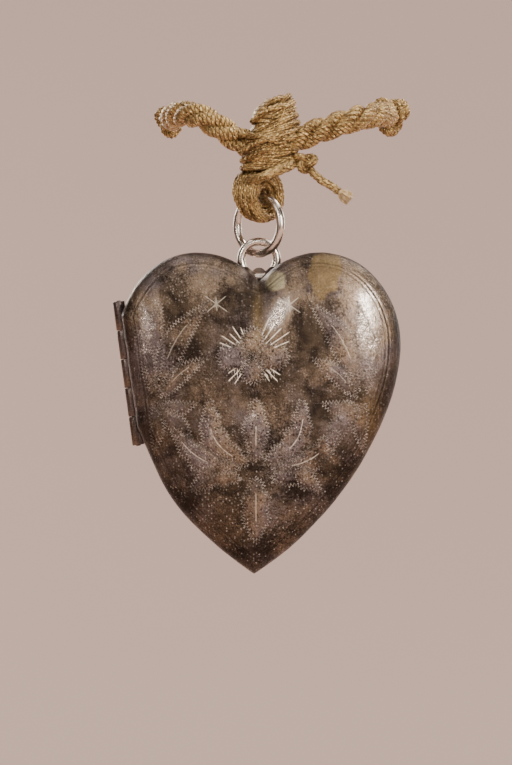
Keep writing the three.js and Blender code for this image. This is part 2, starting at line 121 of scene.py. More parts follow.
class Paint:
    """A node material and short calls that add nodes to it."""

    def __init__(self, name):
        self.material = bpy.data.materials.new(name)
        self.material.use_nodes = True
        self.tree = self.material.node_tree
        self.surface = self.tree.nodes["Principled BSDF"]
        coordinates = self.node("ShaderNodeTexCoord")
        scaled = self.node("ShaderNodeVectorMath", operation="SCALE")
        self.feed(scaled.inputs[0], coordinates.outputs["Object"])
        scaled.inputs["Scale"].default_value = 1 / MM
        self.place = scaled.outputs[0]

    def node(self, kind, **settings):
        made = self.tree.nodes.new(kind)
        for key, value in settings.items():
            setattr(made, key, value)
        return made

    def feed(self, socket, value):
        if isinstance(value, bpy.types.NodeSocket):
            self.tree.links.new(value, socket)
        else:
            socket.default_value = value

    def math(self, operation, *values, clamp=False):
        made = self.node("ShaderNodeMath", operation=operation, use_clamp=clamp)
        for socket, value in zip(made.inputs, values):
            self.feed(socket, value)
        return made.outputs[0]

    def add(self, *values):
        total = values[0]
        for value in values[1:]:
            total = self.math("ADD", total, value)
        return total

    def times(self, *values):
        total = values[0]
        for value in values[1:]:
            total = self.math("MULTIPLY", total, value)
        return total

    def step(self, value, low, high, start=0.0, end=1.0):
        made = self.node("ShaderNodeMapRange", interpolation_type="SMOOTHSTEP")
        for socket, number in zip(made.inputs, (value, low, high, start, end)):
            self.feed(socket, number)
        return made.outputs[0]

    def noise(self, scale, detail=3.0, roughness=0.55, distortion=0.0, place=None):
        made = self.node("ShaderNodeTexNoise")
        self.feed(made.inputs["Vector"], place or self.place)
        made.inputs["Scale"].default_value = scale
        made.inputs["Detail"].default_value = detail
        made.inputs["Roughness"].default_value = roughness
        made.inputs["Distortion"].default_value = distortion
        return made.outputs["Fac"]

    def cells(self, scale, feature="F1", output="Distance", place=None, randomness=1.0):
        made = self.node("ShaderNodeTexVoronoi", feature=feature)
        self.feed(made.inputs["Vector"], place or self.place)
        made.inputs["Scale"].default_value = scale
        made.inputs["Randomness"].default_value = randomness
        return made.outputs[output]

    def stretched(self, x, y, z):
        made = self.node("ShaderNodeVectorMath", operation="MULTIPLY")
        self.feed(made.inputs[0], self.place)
        made.inputs[1].default_value = (x, y, z)
        return made.outputs[0]

    def attribute(self, name):
        return self.node("ShaderNodeAttribute", attribute_name=name).outputs["Fac"]

    def mix(self, share, first, second, blend="MIX"):
        made = self.node("ShaderNodeMix", data_type="RGBA", blend_type=blend)
        self.feed(made.inputs[0], share)
        for socket, value in ((made.inputs[6], first), (made.inputs[7], second)):
            self.feed(socket, (*value, 1) if isinstance(value, tuple) else value)
        return made.outputs[2]

    def bump(self, height, distance, strength=1.0, normal=None):
        made = self.node("ShaderNodeBump")
        self.feed(made.inputs["Height"], height)
        made.inputs["Distance"].default_value = distance * MM
        made.inputs["Strength"].default_value = strength
        if normal:
            self.feed(made.inputs["Normal"], normal)
        return made.outputs[0]

    def finish(self, colour, metallic, roughness, normal=None, **more):
        self.feed(self.surface.inputs["Base Color"], colour)
        self.feed(self.surface.inputs["Metallic"], metallic)
        self.feed(self.surface.inputs["Roughness"], roughness)
        if normal:
            self.feed(self.surface.inputs["Normal"], normal)
        for name, value in more.items():
            self.feed(self.surface.inputs[name.replace("_", " ")], value)
        return self.material


SILVER = (0.58, 0.51, 0.45)
WARM_SILVER = (0.17, 0.122, 0.085)
TARNISH = (0.016, 0.011, 0.008)
BROWN_TARNISH = (0.054, 0.037, 0.024)
MAUVE = (0.115, 0.09, 0.086)
OLIVE_GOLD = (0.15, 0.1, 0.042)
SOLDER = (0.27, 0.23, 0.14)
WRIGGLE_PITCH = 0.34  # length of one zigzag of the graver
FLOOR_SEEN = (0.66, 0.45, 0.37)
FLOOR_SHARE = 0.8  # of the floor's look that is that colour, and not its lit paint


def tarnished(paint, wear, speckle=1.0):
    """Silver that is dark in its hollows. wear, from 0 to 1, is how far it is rubbed bright; on the
    engraved front it also holds painted highlights.
    """
    cloud = paint.noise(0.33, 6, 0.62, 0.7)
    grain = paint.noise(1.7, 5, 0.7)
    grit = paint.math("MULTIPLY", paint.add(paint.noise(5.5, 4, 0.75), -0.5), speckle)
    worn = paint.add(wear, paint.times(cloud, 0.6), paint.times(grain, 0.7), -0.65)
    worn = paint.add(worn, paint.times(grit, 1.7))
    dark = paint.mix(paint.step(cloud, 0.38, 0.62), TARNISH, BROWN_TARNISH)
    tint = paint.mix(paint.step(paint.noise(0.22, 3), 0.42, 0.58), MAUVE, WARM_SILVER)
    tint = paint.mix(paint.step(worn, 0.62, 1.15), tint, SILVER)
    colour = paint.mix(paint.step(worn, 0.0, 0.62), dark, tint)
    roughness = paint.math("MAXIMUM", paint.add(0.5, paint.times(worn, -0.26)), 0.2)
    return colour, roughness, worn


def scratches(paint):
    """Fine hairlines in three directions."""
    total = 0.0
    for stretch, scale in (((9, 1, 0.5), 1.0), ((0.6, 1, 8), 0.9), ((5, 1, 5), 0.6)):
        lines = paint.noise(scale, 2, 0.4, place=paint.stretched(*stretch))
        total = paint.add(paint.step(lines, 0.62, 0.72), total)
    return total


def plain_silver(name, wear):
    paint = Paint(name)
    colour, roughness, _ = tarnished(paint, wear)
    height = paint.add(paint.times(scratches(paint), -0.4), paint.noise(5, 4, 0.6))
    return paint.finish(colour, 0.95, roughness, paint.bump(height, 0.02))


def engraved_silver():
    """The front cover. Its mesh carries how far each point lies from the cuts and lines."""
    paint = Paint("engraved_silver")
    aside = paint.attribute("wriggle_aside")
    along = paint.attribute("wriggle_along")
    turn = paint.math("FRACT", paint.math("DIVIDE", along, WRIGGLE_PITCH))
    zigzag = paint.math("ABSOLUTE", paint.add(paint.times(turn, 2.0), -1.0))
    zigzag = paint.add(paint.times(zigzag, 0.36), -0.18)
    off = paint.math("ABSOLUTE", paint.math("SUBTRACT", aside, zigzag))
    broken = paint.step(paint.noise(0.8, 5, 0.75), 0.38, 0.62, 0.2, 1.0)
    wriggle = paint.times(paint.step(off, 0.02, 0.09, 1.0, 0.0), broken)

    stipple = paint.attribute("stipple")
    pits = paint.times(paint.step(paint.cells(3.4), 0.12, 0.4, 1.0, 0.0), stipple)
    shade = paint.node("ShaderNodeSeparateColor")
    paint.feed(shade.inputs[0], paint.cells(3.4, output="Color"))
    lit = paint.step(shade.outputs[0], 0.5, 0.72)

    line = paint.math("ABSOLUTE", paint.attribute("cut_aside"))
    cut = paint.step(line, 0.015, 0.075, 1.0, 0.0)
    near = paint.step(paint.attribute("cut_gap"), 0.1, 0.2, 1.0, 0.0)
    cut = paint.times(cut, near, paint.attribute("cut_bright"))

    speckle = paint.add(0.45, paint.times(stipple, 0.6))
    # The wear attribute is rubbing, with painted highlights added where the lamps' reflections
    # fall.
    colour, roughness, worn = tarnished(paint, paint.attribute("wear"), speckle)
    patches = paint.times(paint.attribute("gold"), paint.step(worn, 0.0, 0.5, 0.55, 1.0))
    colour = paint.mix(patches, colour, OLIVE_GOLD)
    patches = paint.times(paint.attribute("solder"), paint.step(worn, -0.1, 0.4, 0.4, 0.9))
    colour = paint.mix(patches, colour, SOLDER)
    dull = paint.times(pits, paint.math("SUBTRACT", 1.0, lit), 0.8)
    colour = paint.mix(dull, colour, TARNISH)
    colour = paint.mix(paint.times(pits, lit, 0.5), colour, SILVER)
    colour = paint.mix(paint.times(wriggle, 0.72), colour, SILVER)
    # Darker towards tarnish: dark patches, the engraved border lines, and painted shade along the
    # seam at the upper right.
    dark_patches_and_seam_shade = paint.times(paint.attribute("dark_patches_and_seam_shade"), paint.step(worn, 0.2, 1.0, 1.0, 0.45))
    colour = paint.mix(dark_patches_and_seam_shade, colour, TARNISH)
    colour = paint.mix(cut, colour, (0.8, 0.71, 0.58))
    height = paint.add(
        paint.times(pits, -0.8),
        paint.times(wriggle, -0.8),
        paint.times(scratches(paint), -0.15),
        paint.times(paint.noise(5.5, 4, 0.75), paint.add(0.35, paint.times(stipple, 0.6))),
    )
    return paint.finish(colour, 0.95, roughness, paint.bump(height, 0.075))


def wire_silver():
    paint = Paint("wire_silver")
    colour, roughness, worn = tarnished(paint, 0.8, 0.3)
    colour = paint.mix(paint.step(worn, 0.2, 0.9), WARM_SILVER, SILVER)
    height = paint.add(paint.noise(4, 4, 0.6), paint.times(scratches(paint), -0.3))
    roughness = paint.step(paint.noise(1.2, 3), 0.3, 0.7, 0.2, 0.34)
    return paint.finish(colour, 1.0, roughness, paint.bump(height, 0.005))


def gilt_brass():
    paint = Paint("gilt_brass")
    cloud = paint.noise(0.5, 5, 0.6, 0.4)
    colour = paint.mix(paint.step(cloud, 0.4, 0.65), (0.44, 0.29, 0.11), (0.62, 0.44, 0.19))
    height = paint.add(paint.noise(7, 3, 0.6), paint.times(scratches(paint), -0.5))
    roughness = paint.step(cloud, 0.3, 0.7, 0.4, 0.28)
    return paint.finish(colour, 1.0, roughness, paint.bump(height, 0.015))


def pin_steel():
    paint = Paint("pin_steel")
    cloud = paint.noise(1.5, 4, 0.6)
    colour = paint.mix(paint.step(cloud, 0.4, 0.7), (0.03, 0.024, 0.02), (0.13, 0.11, 0.1))
    return paint.finish(colour, 1.0, 0.38, paint.bump(paint.noise(12, 3), 0.01))


def celluloid():
    paint = Paint("celluloid")
    marks = scratches(paint)
    roughness = paint.add(0.06, paint.times(marks, 0.12), paint.times(paint.noise(0.6), 0.06))
    return paint.finish(
        (0.93, 0.88, 0.7, 1), 0.0, roughness, paint.bump(marks, 0.005), Transmission_Weight=1.0
    )


def aged_card():
    paint = Paint("aged_card")
    fibre = paint.noise(14, 4, 0.7, place=paint.stretched(1, 1, 0.35))
    stain = paint.noise(0.25, 4, 0.6, 0.8)
    colour = paint.mix(paint.step(stain, 0.4, 0.7), (0.72, 0.62, 0.44), (0.5, 0.37, 0.22))
    fox = paint.step(paint.cells(0.9), 0.05, 0.14, 0.55, 0.0)
    colour = paint.mix(fox, colour, (0.27, 0.14, 0.06))
    colour = paint.mix(paint.times(fibre, 0.25), colour, (0.85, 0.78, 0.62))
    return paint.finish(colour, 0.0, 0.85, paint.bump(fibre, 0.03))


def gilt_thread(name, light):
    """Thread wound with flat metal lamella. The mesh carries the place round and along it."""
    paint = Paint(name)
    around = paint.attribute("around")
    along = paint.attribute("along")
    lay = paint.math("FRACT", paint.add(paint.times(around, 3.0), paint.times(along, 2.2)))
    groove = paint.step(paint.math("ABSOLUTE", paint.add(lay, -0.5)), 0.32, 0.5)
    glint = paint.noise(5.5, 2, 0.5)
    dull = paint.noise(0.7, 4, 0.6)
    colour = paint.mix(paint.step(dull, 0.35, 0.7), (0.17, 0.095, 0.028), light)
    colour = paint.mix(paint.step(glint, 0.52, 0.72), colour, (0.8, 0.6, 0.3))
    # The grooves between the turns are painted near black, a painted shade in the crevices.
    colour = paint.mix(groove, colour, (0.045, 0.024, 0.008))
    height = paint.add(paint.times(groove, -1.0), paint.times(paint.noise(11, 3), 0.7))
    metal = paint.step(glint, 0.35, 0.6, 0.45, 0.9)
    return paint.finish(colour, metal, 0.42, paint.bump(height, 0.09))


def cotton():
    paint = Paint("cotton_core")
    around = paint.attribute("around")
    along = paint.attribute("along")
    lay = paint.math("SINE", paint.add(paint.times(around, 18.85), paint.times(along, 9.0)))
    colour = paint.mix(paint.noise(3, 4), (0.42, 0.24, 0.08), (0.78, 0.56, 0.26))
    height = paint.add(paint.times(lay, 0.5), paint.noise(20, 3))
    return paint.finish(colour, 0.0, 0.85, paint.bump(height, 0.05), Sheen_Weight=0.4)


def floor_paint():
    """A pale floor that keeps its paleness in the picture where the lamps don't reach."""
    paint = Paint("floor")
    colour = paint.mix(paint.noise(0.02, 4), (0.52, 0.37, 0.315), (0.56, 0.405, 0.35))
    material = paint.finish(colour, 0.0, 0.9, paint.bump(paint.noise(0.3, 5), 0.1))
    pale = paint.node("ShaderNodeEmission")
    pale.inputs["Color"].default_value = (*FLOOR_SEEN, 1)
    path = paint.node("ShaderNodeLightPath")
    both = paint.node("ShaderNodeMixShader")
    paint.feed(both.inputs[0], paint.times(path.outputs["Is Camera Ray"], FLOOR_SHARE))
    paint.feed(both.inputs[1], paint.surface.outputs[0])
    paint.feed(both.inputs[2], pale.outputs[0])
    paint.feed(paint.tree.nodes["Material Output"].inputs["Surface"], both.outputs[0])
    return material


ENGRAVED = engraved_silver()
SIDE_SILVER = plain_silver("side_silver", 0.4)
BACK_SILVER = plain_silver("back_silver", 0.68)
WIRE_SILVER = wire_silver()
BRASS = gilt_brass()
STEEL = pin_steel()
CELLULOID = celluloid()
CARD = aged_card()
GOLD = gilt_thread("gilt_thread", (0.46, 0.3, 0.11))
PALE_GOLD = gilt_thread("pale_gilt_thread", (0.6, 0.42, 0.17))
COTTON = cotton()


# ---------------------------------------------------------------- meshes


def make_piece(name, points, faces, material, body, attributes=None):
    """A smooth-shaded mesh from points in millimetres that rides on a body."""
    mesh = bpy.data.meshes.new(name)
    mesh.from_pydata((np.asarray(points) * MM).tolist(), [], faces)
    mesh.update()
    for key, values in (attributes or {}).items():
        layer = mesh.attributes.new(key, "FLOAT", "POINT")
        layer.data.foreach_set("value", np.asarray(values, np.float32))
    mesh.polygons.foreach_set("use_smooth", [True] * len(mesh.polygons))
    mesh.materials.append(material)
    made = bpy.data.objects.new(name, mesh)
    bpy.context.scene.collection.objects.link(made)
    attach(made, body)
    return made


def weld(piece):
    """Joins points of a piece that lie in the same place."""
    form = bmesh.new()
    form.from_mesh(piece.data)
    bmesh.ops.remove_doubles(form, verts=form.verts, dist=1e-7)
    form.to_mesh(piece.data)
    form.free()


def make_shell(name, node, points, faces, material, body, crease, attributes=None):
    """A closed piece, with no double points, in place of a CAD node."""
    made = make_piece(name, points, faces, material, body, attributes)
    weld(made)
    sharpen(made, crease)
    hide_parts(node)


def ring_faces(rings, around, closed=False):
    """Quads between rings of points, wound so that the first ring's outside faces out."""
    faces = []
    for r in range(rings if closed else rings - 1):
        low = r * around
        high = ((r + 1) % rings) * around
        for i in range(around):
            following = (i + 1) % around
            faces.append((low + i, low + following, high + following, high + i))
    return faces


def sharpen(piece, degrees=40):
    """Creases the piece's shading at its sharp edges."""
    piece.data.set_sharp_from_angle(angle=math.radians(degrees))


# ---------------------------------------------------------------- cords and threads


def reach_along(line):
    """How far along a line each of its points lies."""
    return np.concatenate([[0], np.cumsum(np.linalg.norm(np.diff(line, axis=0), axis=1))])


def points_at(line, reach, wanted):
    """The points of a line at the wanted places along it."""
    return np.stack([np.interp(wanted, reach, axis) for axis in line.T], axis=1)


def smooth_route(points, spacing, closed=False):
    """Points at even spacing on a Catmull-Rom curve through points."""
    control = np.asarray(points, float)
    if closed:
        control = np.vstack([control[-1], control, control[0], control[1]])
    else:
        first = 2 * control[0] - control[1]
        last = 2 * control[-1] - control[-2]
        control = np.vstack([first, control, last])
    fine = []
    for k in range(len(control) - 3):
        a, b, c, d = control[k : k + 4]
        for t in np.linspace(0, 1, 16, endpoint=False):
            fine.append(
                0.5
                * (
                    2 * b
                    + (c - a) * t
                    + (2 * a - 5 * b + 4 * c - d) * t**2
                    + (3 * b - a - 3 * c + d) * t**3
                )
            )
    fine.append(control[-2])
    fine = np.array(fine)
    reach = reach_along(fine)
    count = max(4, int(round(reach[-1] / spacing)))
    wanted = np.linspace(0, reach[-1], count + 1)
    even = points_at(fine, reach, wanted)
    return even[:-1] if closed else even


def frames(path, closed=False):
    """Two unit vectors across the path at each of its points, without twist."""
    if closed:
        tangent = np.roll(path, -1, 0) - np.roll(path, 1, 0)
    else:
        tangent = np.gradient(path, axis=0)
    tangent /= np.linalg.norm(tangent, axis=1)[:, None]
    start = np.array([0.0, 0, 1]) if abs(tangent[0][2]) < 0.8 else np.array([0.0, 1, 0])
    side = np.cross(tangent[0], start)
    sides = []
    for t in tangent:
        side = side - t * side.dot(t)
        side = side / np.linalg.norm(side)
        sides.append(side)
    sides = np.array(sides)
    ups = np.cross(sides, tangent)
    if closed:
        # Spread the angle that is missing at the join over the whole loop.
        gap = math.atan2(sides[0].dot(ups[-1]), sides[0].dot(sides[-1]))
        turn = np.linspace(0, gap, len(path))[:, None]
        sides, ups = (
            sides * np.cos(turn) + ups * np.sin(turn),
            ups * np.cos(turn) - sides * np.sin(turn),
        )
    return sides, ups


class Threads:
    """Collects the tubes of one piece of thread work, and makes them one mesh."""

    def __init__(self):
        self.points = []
        self.faces = []
        self.around = []
        self.along = []
        self.count = 0

    def tube(self, path, radius, closed=False, sides=8, taper=0.0):
        """A tube with two lobes that wind round it, as two twisted plies do."""
        across, up = frames(path, closed)
        reach = reach_along(path)
        angle = np.linspace(0, 2 * math.pi, sides, endpoint=False)
        wind = angle[None, :] - reach[:, None] * 1.6 / radius**0.5
        size = radius * (1 + 0.1 * np.cos(2 * wind))
        if taper:
            ends = np.minimum(reach, reach[-1] - reach)[:, None]
            size = size * np.clip(0.25 + ends / taper, 0, 1) ** 0.5
        ring = (
            path[:, None, :]
            + across[:, None, :] * (size * np.cos(angle))[:, :, None]
            + up[:, None, :] * (size * np.sin(angle))[:, :, None]
        )
        base = self.count
        rows = len(path)
        self.points.append(ring.reshape(-1, 3))
        self.around.append(np.tile(angle / (2 * math.pi), rows))
        self.along.append(np.repeat(reach, sides))
        for quad in ring_faces(rows, sides, closed):
            self.faces.append(tuple(base + k for k in reversed(quad)))
        if not closed:
            self.faces.append(tuple(base + k for k in range(sides)))
            last = base + (rows - 1) * sides
            self.faces.append(tuple(last + k for k in reversed(range(sides))))
        self.count += rows * sides

    def strand(self, path, radius, yarns, turns, closed=False, spread=0.62, yarn=None, phase=0.0):
        """A bundle of yarns that wind round the path."""
        across, up = frames(path, closed)
        yarn = yarn or radius * (1 - spread) * 1.15
        share = np.linspace(0, 1, len(path), endpoint=not closed)
        for k in range(yarns):
            angle = 2 * math.pi * (k / yarns + turns * share) + phase
            offset = (
                across * np.cos(angle)[:, None] + up * np.sin(angle)[:, None]
            ) * radius * spread
            self.tube(path + offset, yarn, closed)

    def piece(self, name, material, body="cord_and_ties", slot="gilt_thread"):
        return make_piece(
            name,
            np.concatenate(self.points),
            self.faces,
            material,
            body,
            {"around": np.concatenate(self.around), "along": np.concatenate(self.along)},
        )


CORD_ROUTE = [
    (-8.75, 9.7, 3.35),
    (-8.6, 7.9, 3.4),
    (-8.3, 6.1, 3.45),
    (-7.8, 4.4, 3.45),
    (-7.1, 2.9, 3.35),
    (-6.2, 1.6, 3.1),
    (-5.1, 0.7, 2.6),
    (-3.9, 0.2, 1.85),
    (-2.6, 0.05, 0.95),
    (-1.3, 0, 0.3),
    (0, 0, 0),
    (1.4, 0, -0.02),
    (2.8, 0, 0.22),
    (4.2, 0, 0.68),
    (5.6, 0.05, 1.2),
    (7.2, 0.35, 1.8),
    (8.9, 1, 2.4),
    (10.4, 2.1, 2.9),
    (11.6, 3.5, 3.2),
    (12.5, 5.2, 3.45),
    (13, 7, 3.6),
    (13.3, 8.7, 3.7),
]
TAIL_ROUTE = [(5.75, -1, -3), (6.5, -1.05, -3.65), (7.4, -1.05, -4.15), (8.15, -1, -4.7)]
CORD_DIAMETER = 2.6
CORD_LAY = 7.5  # length of cord in which its plies go round once
TUFT_FIBRES = 110


def rope(path, radius, turns, plies=3, yarns=6, closed=False, threads=None):
    """Plies that wind round the path, each of yarns that wind the other way."""
    threads = threads or Threads()
    across, up = frames(path, closed)
    share = np.linspace(0, 1, len(path), endpoint=not closed)
    ply = radius * 0.5
    for k in range(plies):
        angle = 2 * math.pi * (k / plies + turns * share)
        centre = path + (
            across * np.cos(angle)[:, None] + up * np.sin(angle)[:, None]
        ) * (radius - ply)
        threads.strand(centre, ply, yarns, -2.2 * turns, closed, spread=0.66, yarn=ply * 0.42)
        threads.tube(centre, ply * 0.62, closed)
    return threads


def make_cord():
    path = smooth_route(CORD_ROUTE, 0.24)
    length = np.linalg.norm(np.diff(path, axis=0), axis=1).sum()
    made = rope(path, CORD_DIAMETER / 2, length / CORD_LAY).piece("twisted_cord", GOLD)
    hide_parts("cord")
    return made, path, length


def make_lashing():
    """Turns of thread round the cord: level ones below, that lean more and more to the top."""
    threads = Threads()
    turns = 17
    for k in range(turns):
        share = k / (turns - 1)
        level = -2.1 + 5.6 * share
        lean = math.radians(4 + 36 * share**1.4) + 0.07 * math.sin(2.4 * k)
        wide = 2.85 - 0.25 * (1 - share) - 0.75 * max(0, share - 0.6) / 0.4
        deep = 2.6 * math.sqrt(max(0.12, 1 - (1.45 * share - 0.5) ** 2 * 0.85))
        middle = 1.1 + 0.65 * share + 0.1 * math.sin(1.9 * k)
        turn = []
        for t in np.linspace(0, 2 * math.pi, 20, endpoint=False):
            sag = -0.3 * math.sin(t) ** 2 * (1 - share)
            wave = 0.07 * math.sin(3 * t + k)
            x = wide * math.cos(t) * math.cos(lean)
            z = wide * math.cos(t) * math.sin(lean) + sag + wave
            turn.append((middle + x, deep * math.sin(t) + wave, level + z))
        path = smooth_route(turn, 0.2, closed=True)
        threads.strand(path, 0.27, 3, 9, closed=True, spread=0.5, yarn=0.17)
    # Slack turns that cross the others on the near side
    for start, end, bulge in (
        ((-1.7, -1.2, -0.9), (3.6, -1.3, 1.0), -3.0),
        ((-1.6, -1.2, 0.9), (3.9, -1.1, -0.7), -3.05),
        ((-0.5, -0.9, 2.2), (3.3, -0.7, 3.9), -2.7),
        ((-1.4, -1.2, -1.7), (3.2, -1.2, -0.4), -2.9),
        ((0.6, -0.5, 3.4), (3.0, 0.1, 4.7), -1.9),
    ):
        route = []
        for t in np.linspace(0, 1, 7):
            x = start[0] + (end[0] - start[0]) * t
            y = start[1] + (end[1] - start[1]) * t + (bulge - start[1]) * math.sin(math.pi * t)
            z = start[2] + (end[2] - start[2]) * t + 0.35 * math.sin(math.pi * t)
            route.append((x, y, z))
        threads.strand(smooth_route(route, 0.18), 0.3, 3, 3, spread=0.5, yarn=0.19)
    # The bundle that the turns are wound on
    core = smooth_route([(1.1, 0, -2.4), (1.3, 0, 0.5), (1.9, 0, 4.5)], 0.2)
    threads.tube(core, 2.15, sides=24, taper=3)
    return threads.piece("lashing_turns", GOLD)


def make_lashing_core():
    """The pale strand that comes round below the turns."""
    route = [
        (-0.7, -2.1, -3.7),
        (0.2, -2.75, -3.5),
        (1.4, -3.05, -3.0),
        (2.7, -2.85, -2.45),
        (3.6, -2.2, -2.05),
    ]
    threads = Threads()
    threads.strand(smooth_route(route, 0.2), 0.48, 4, 1.4, spread=0.5, yarn=0.3)
    return threads.piece("lashing_core", PALE_GOLD)


def make_bight():
    """Loops of thread round the jump ring's wire, which lean and cross one another."""
    threads = Threads()
    centre = Vector((RING.x, 0, RING.z + RING_RADIUS))
    layers = ((8, 1.05, 0.95, 0.0), (9, 1.65, 1.3, 0.5), (10, 2.15, 1.5, 0.75), (7, 2.4, 1.55, 1.1))
    for layer, (count, reach, wide, lean) in enumerate(layers):
        for k in range(count):
            share = (k + 0.5) / count * 2 - 1
            limit = math.sqrt(max(0.05, 1 - 0.45 * share * share))
            tilt = lean * (0.6 + 0.4 * math.sin(2.1 * k + layer))
            loop = []
            for t in np.linspace(0, 2 * math.pi, 18, endpoint=False):
                radial = Vector((0, 0, math.cos(t) * (1.12 if math.cos(t) > 0 else 1)))
                radial += ACROSS_RING * (math.sin(t) * 1.08)
                size = 1.1 + (reach - 1.1) * limit + 0.07 * math.sin(3 * t + 2 * k)
                sway = share * wide * (0.8 + 0.2 * math.cos(t)) - tilt * 0.5 * math.cos(t)
                place = centre + radial * size + ALONG_RING * sway
                loop.append(tuple(place))
            path = smooth_route(loop, 0.2, closed=True)
            threads.strand(path, 0.24, 3, 8, closed=True, spread=0.5, yarn=0.155)
    return threads.piece("bight_strands", GOLD)


def make_side_knot():
    """A small thumb knot in the tail."""
    threads = Threads()
    turns = []
    for t in np.linspace(0, 2 * math.pi, 30, endpoint=False):
        x = 0.36 * (math.sin(t) + 2 * math.sin(2 * t))
        z = 0.26 * (math.cos(t) - 2 * math.cos(2 * t))
        y = -0.42 * math.sin(3 * t)
        turns.append((4.75 + x, -1.0 + y, -1.8 + z))
    path = smooth_route(turns, 0.16, closed=True)
    threads.strand(path, 0.38, 5, 6, closed=True, spread=0.55, yarn=0.19)
    threads.tube(path, 0.22, closed=True)
    return threads.piece("side_knot_turns", GOLD)


def make_tail():
    threads = Threads()
    route = [(5.2, -1.0, -2.45), *TAIL_ROUTE]
    threads.strand(smooth_route(route, 0.15), 0.42, 3, 2.6, spread=0.48, yarn=0.24)
    return threads.piece("tail_plies", PALE_GOLD)


def make_tuft():
    """Loose cotton fibres that flare out of the tail's end."""
    threads = Threads()
    start = Vector(TAIL_ROUTE[-1])
    way = (Vector(TAIL_ROUTE[-1]) - Vector(TAIL_ROUTE[-2])).normalized()
    one = way.cross(Vector((0, 1, 0))).normalized()
    two = way.cross(one)
    pick = random.Random(3)
    for _ in range(TUFT_FIBRES):
        angle = pick.uniform(0, 2 * math.pi)
        flare = math.sqrt(pick.random())
        out = one * math.cos(angle) + two * math.sin(angle)
        length = pick.uniform(1.0, 1.5)
        path = []
        for t in np.linspace(0, 1, 7):
            spread = 0.22 * flare + 0.5 * flare * math.sin(1.9 * t)
            path.append(tuple(start + way * (length * t) + out * spread))
        threads.tube(smooth_route(path, 0.16), 0.055, sides=5)
    return threads.piece("tuft_fibres", COTTON, slot="cotton_core")


def make_end_knot(name, node, size):
    """An overhand knot of the same cord that stops its end."""
    low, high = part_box(node)
    centre = (low + high) / 2 / MM
    turns = []
    for t in np.linspace(0, 2 * math.pi, 36, endpoint=False):
        x = math.sin(t) + 2 * math.sin(2 * t)
        z = math.cos(t) - 2 * math.cos(2 * t)
        y = -1.25 * math.sin(3 * t)
        turns.append(tuple(centre + Vector((x, y, z)) * (size * 0.235)))
    path = smooth_route(turns, 0.22, closed=True)
    threads = rope(path, size * 0.34, 6, plies=3, yarns=5, closed=True)
    made = threads.piece(name, GOLD)
    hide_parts(node)
    return made


cord, cord_path, cord_length = make_cord()
lashing = make_lashing()
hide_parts("cord_lashing")
core = make_lashing_core()
bight = make_bight()
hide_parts("cord_bight")
side_knot = make_side_knot()
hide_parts("side_knot")
tail = make_tail()
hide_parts("cord_tail")
tuft = make_tuft()
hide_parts("tail_tuft")
left_knot = make_end_knot("left_knot", "left_end_knot", 1.8)
right_knot = make_end_knot("right_knot", "right_end_knot", 2.2)


# ---------------------------------------------------------------- the heart's outline


def bezier(points, count):
    t = np.linspace(0, 1, count)[:, None]
    a, b, c, d = (np.array(p, float) for p in points)
    return a * (1 - t) ** 3 + 3 * b * t * (1 - t) ** 2 + 3 * c * t**2 * (1 - t) + d * t**3


def heart_outline(count):
    """Points round the heart, evenly spaced, about its centre, with the hinge's flat cut in."""

    def below(share):
        return TOP - share * HEIGHT

    curves = (
        ((0, TOP - CLEFT), (0.106, TOP - CLEFT / 2), (0.241, TOP), (0.433, TOP)),
        ((0.433, TOP), (0.752, TOP), (1, below(0.131)), (1, below(WIDEST))),
        ((1, below(WIDEST)), (1, below(0.516)), (0.539, below(0.85)), (0, below(1))),
    )
    right = np.vstack([bezier(curve, 200)[:-1] for curve in curves] + [[(0, below(1))]])
    right[:, 0] *= HALF
    left = right[1:-1][::-1] * (-1, 1)
    whole = np.vstack([right, left])
    share = np.clip((below(WIDEST) - whole[:, 1]) / ((1 - WIDEST) * HEIGHT), 0, 1)
    swell = np.maximum(0, (share - FULL_FROM) / (1 - FULL_FROM))
    fuller = np.where(whole[:, 0] < 0, LEFT_FULLNESS * np.sin(math.pi * swell) ** 2, 0)
    whole[:, 0] -= TIP_LEAN * share**2.5 + fuller
    whole = np.vstack([whole, whole[:1]])
    reach = reach_along(whole)
    wanted = np.linspace(0, reach[-1], count, endpoint=False)
    even = points_at(whole, reach, wanted)
    out = even @ np.array([-math.cos(LEAN), -math.sin(LEAN)])
    return even * np.where(out > FLAT, FLAT / np.maximum(out, 1), 1)[:, None]


def inset(outline, distance):
    """The outline moved inwards by a distance, and cut off at the tip where its sides meet."""
    a = outline - np.roll(outline, 1, 0)
    b = np.roll(outline, -1, 0) - outline
    a /= np.linalg.norm(a, axis=1)[:, None]
    b /= np.linalg.norm(b, axis=1)[:, None]
    along = a + b
    along /= np.linalg.norm(along, axis=1)[:, None]
    inward = np.stack([along[:, 1], -along[:, 0]], axis=1)
    mitre = np.maximum(0.5, inward[:, 0] * a[:, 1] - inward[:, 1] * a[:, 0])
    moved = outline + inward * (distance / mitre)[:, None]
    # The two sides stop where they meet above the tip.
    tip = int(np.argmin(outline[:, 1]))
    reach = 1
    while distance > 0 and moved[tip - reach, 0] < moved[tip + reach, 0]:
        reach += 1
    if reach > 1:
        moved[tip - reach + 1 : tip + reach] = (moved[tip - reach] + moved[tip + reach]) / 2
    return moved


def at_depth(outline, y):
    return np.stack([outline[:, 0], np.full(len(outline), y), outline[:, 1]], axis=1)


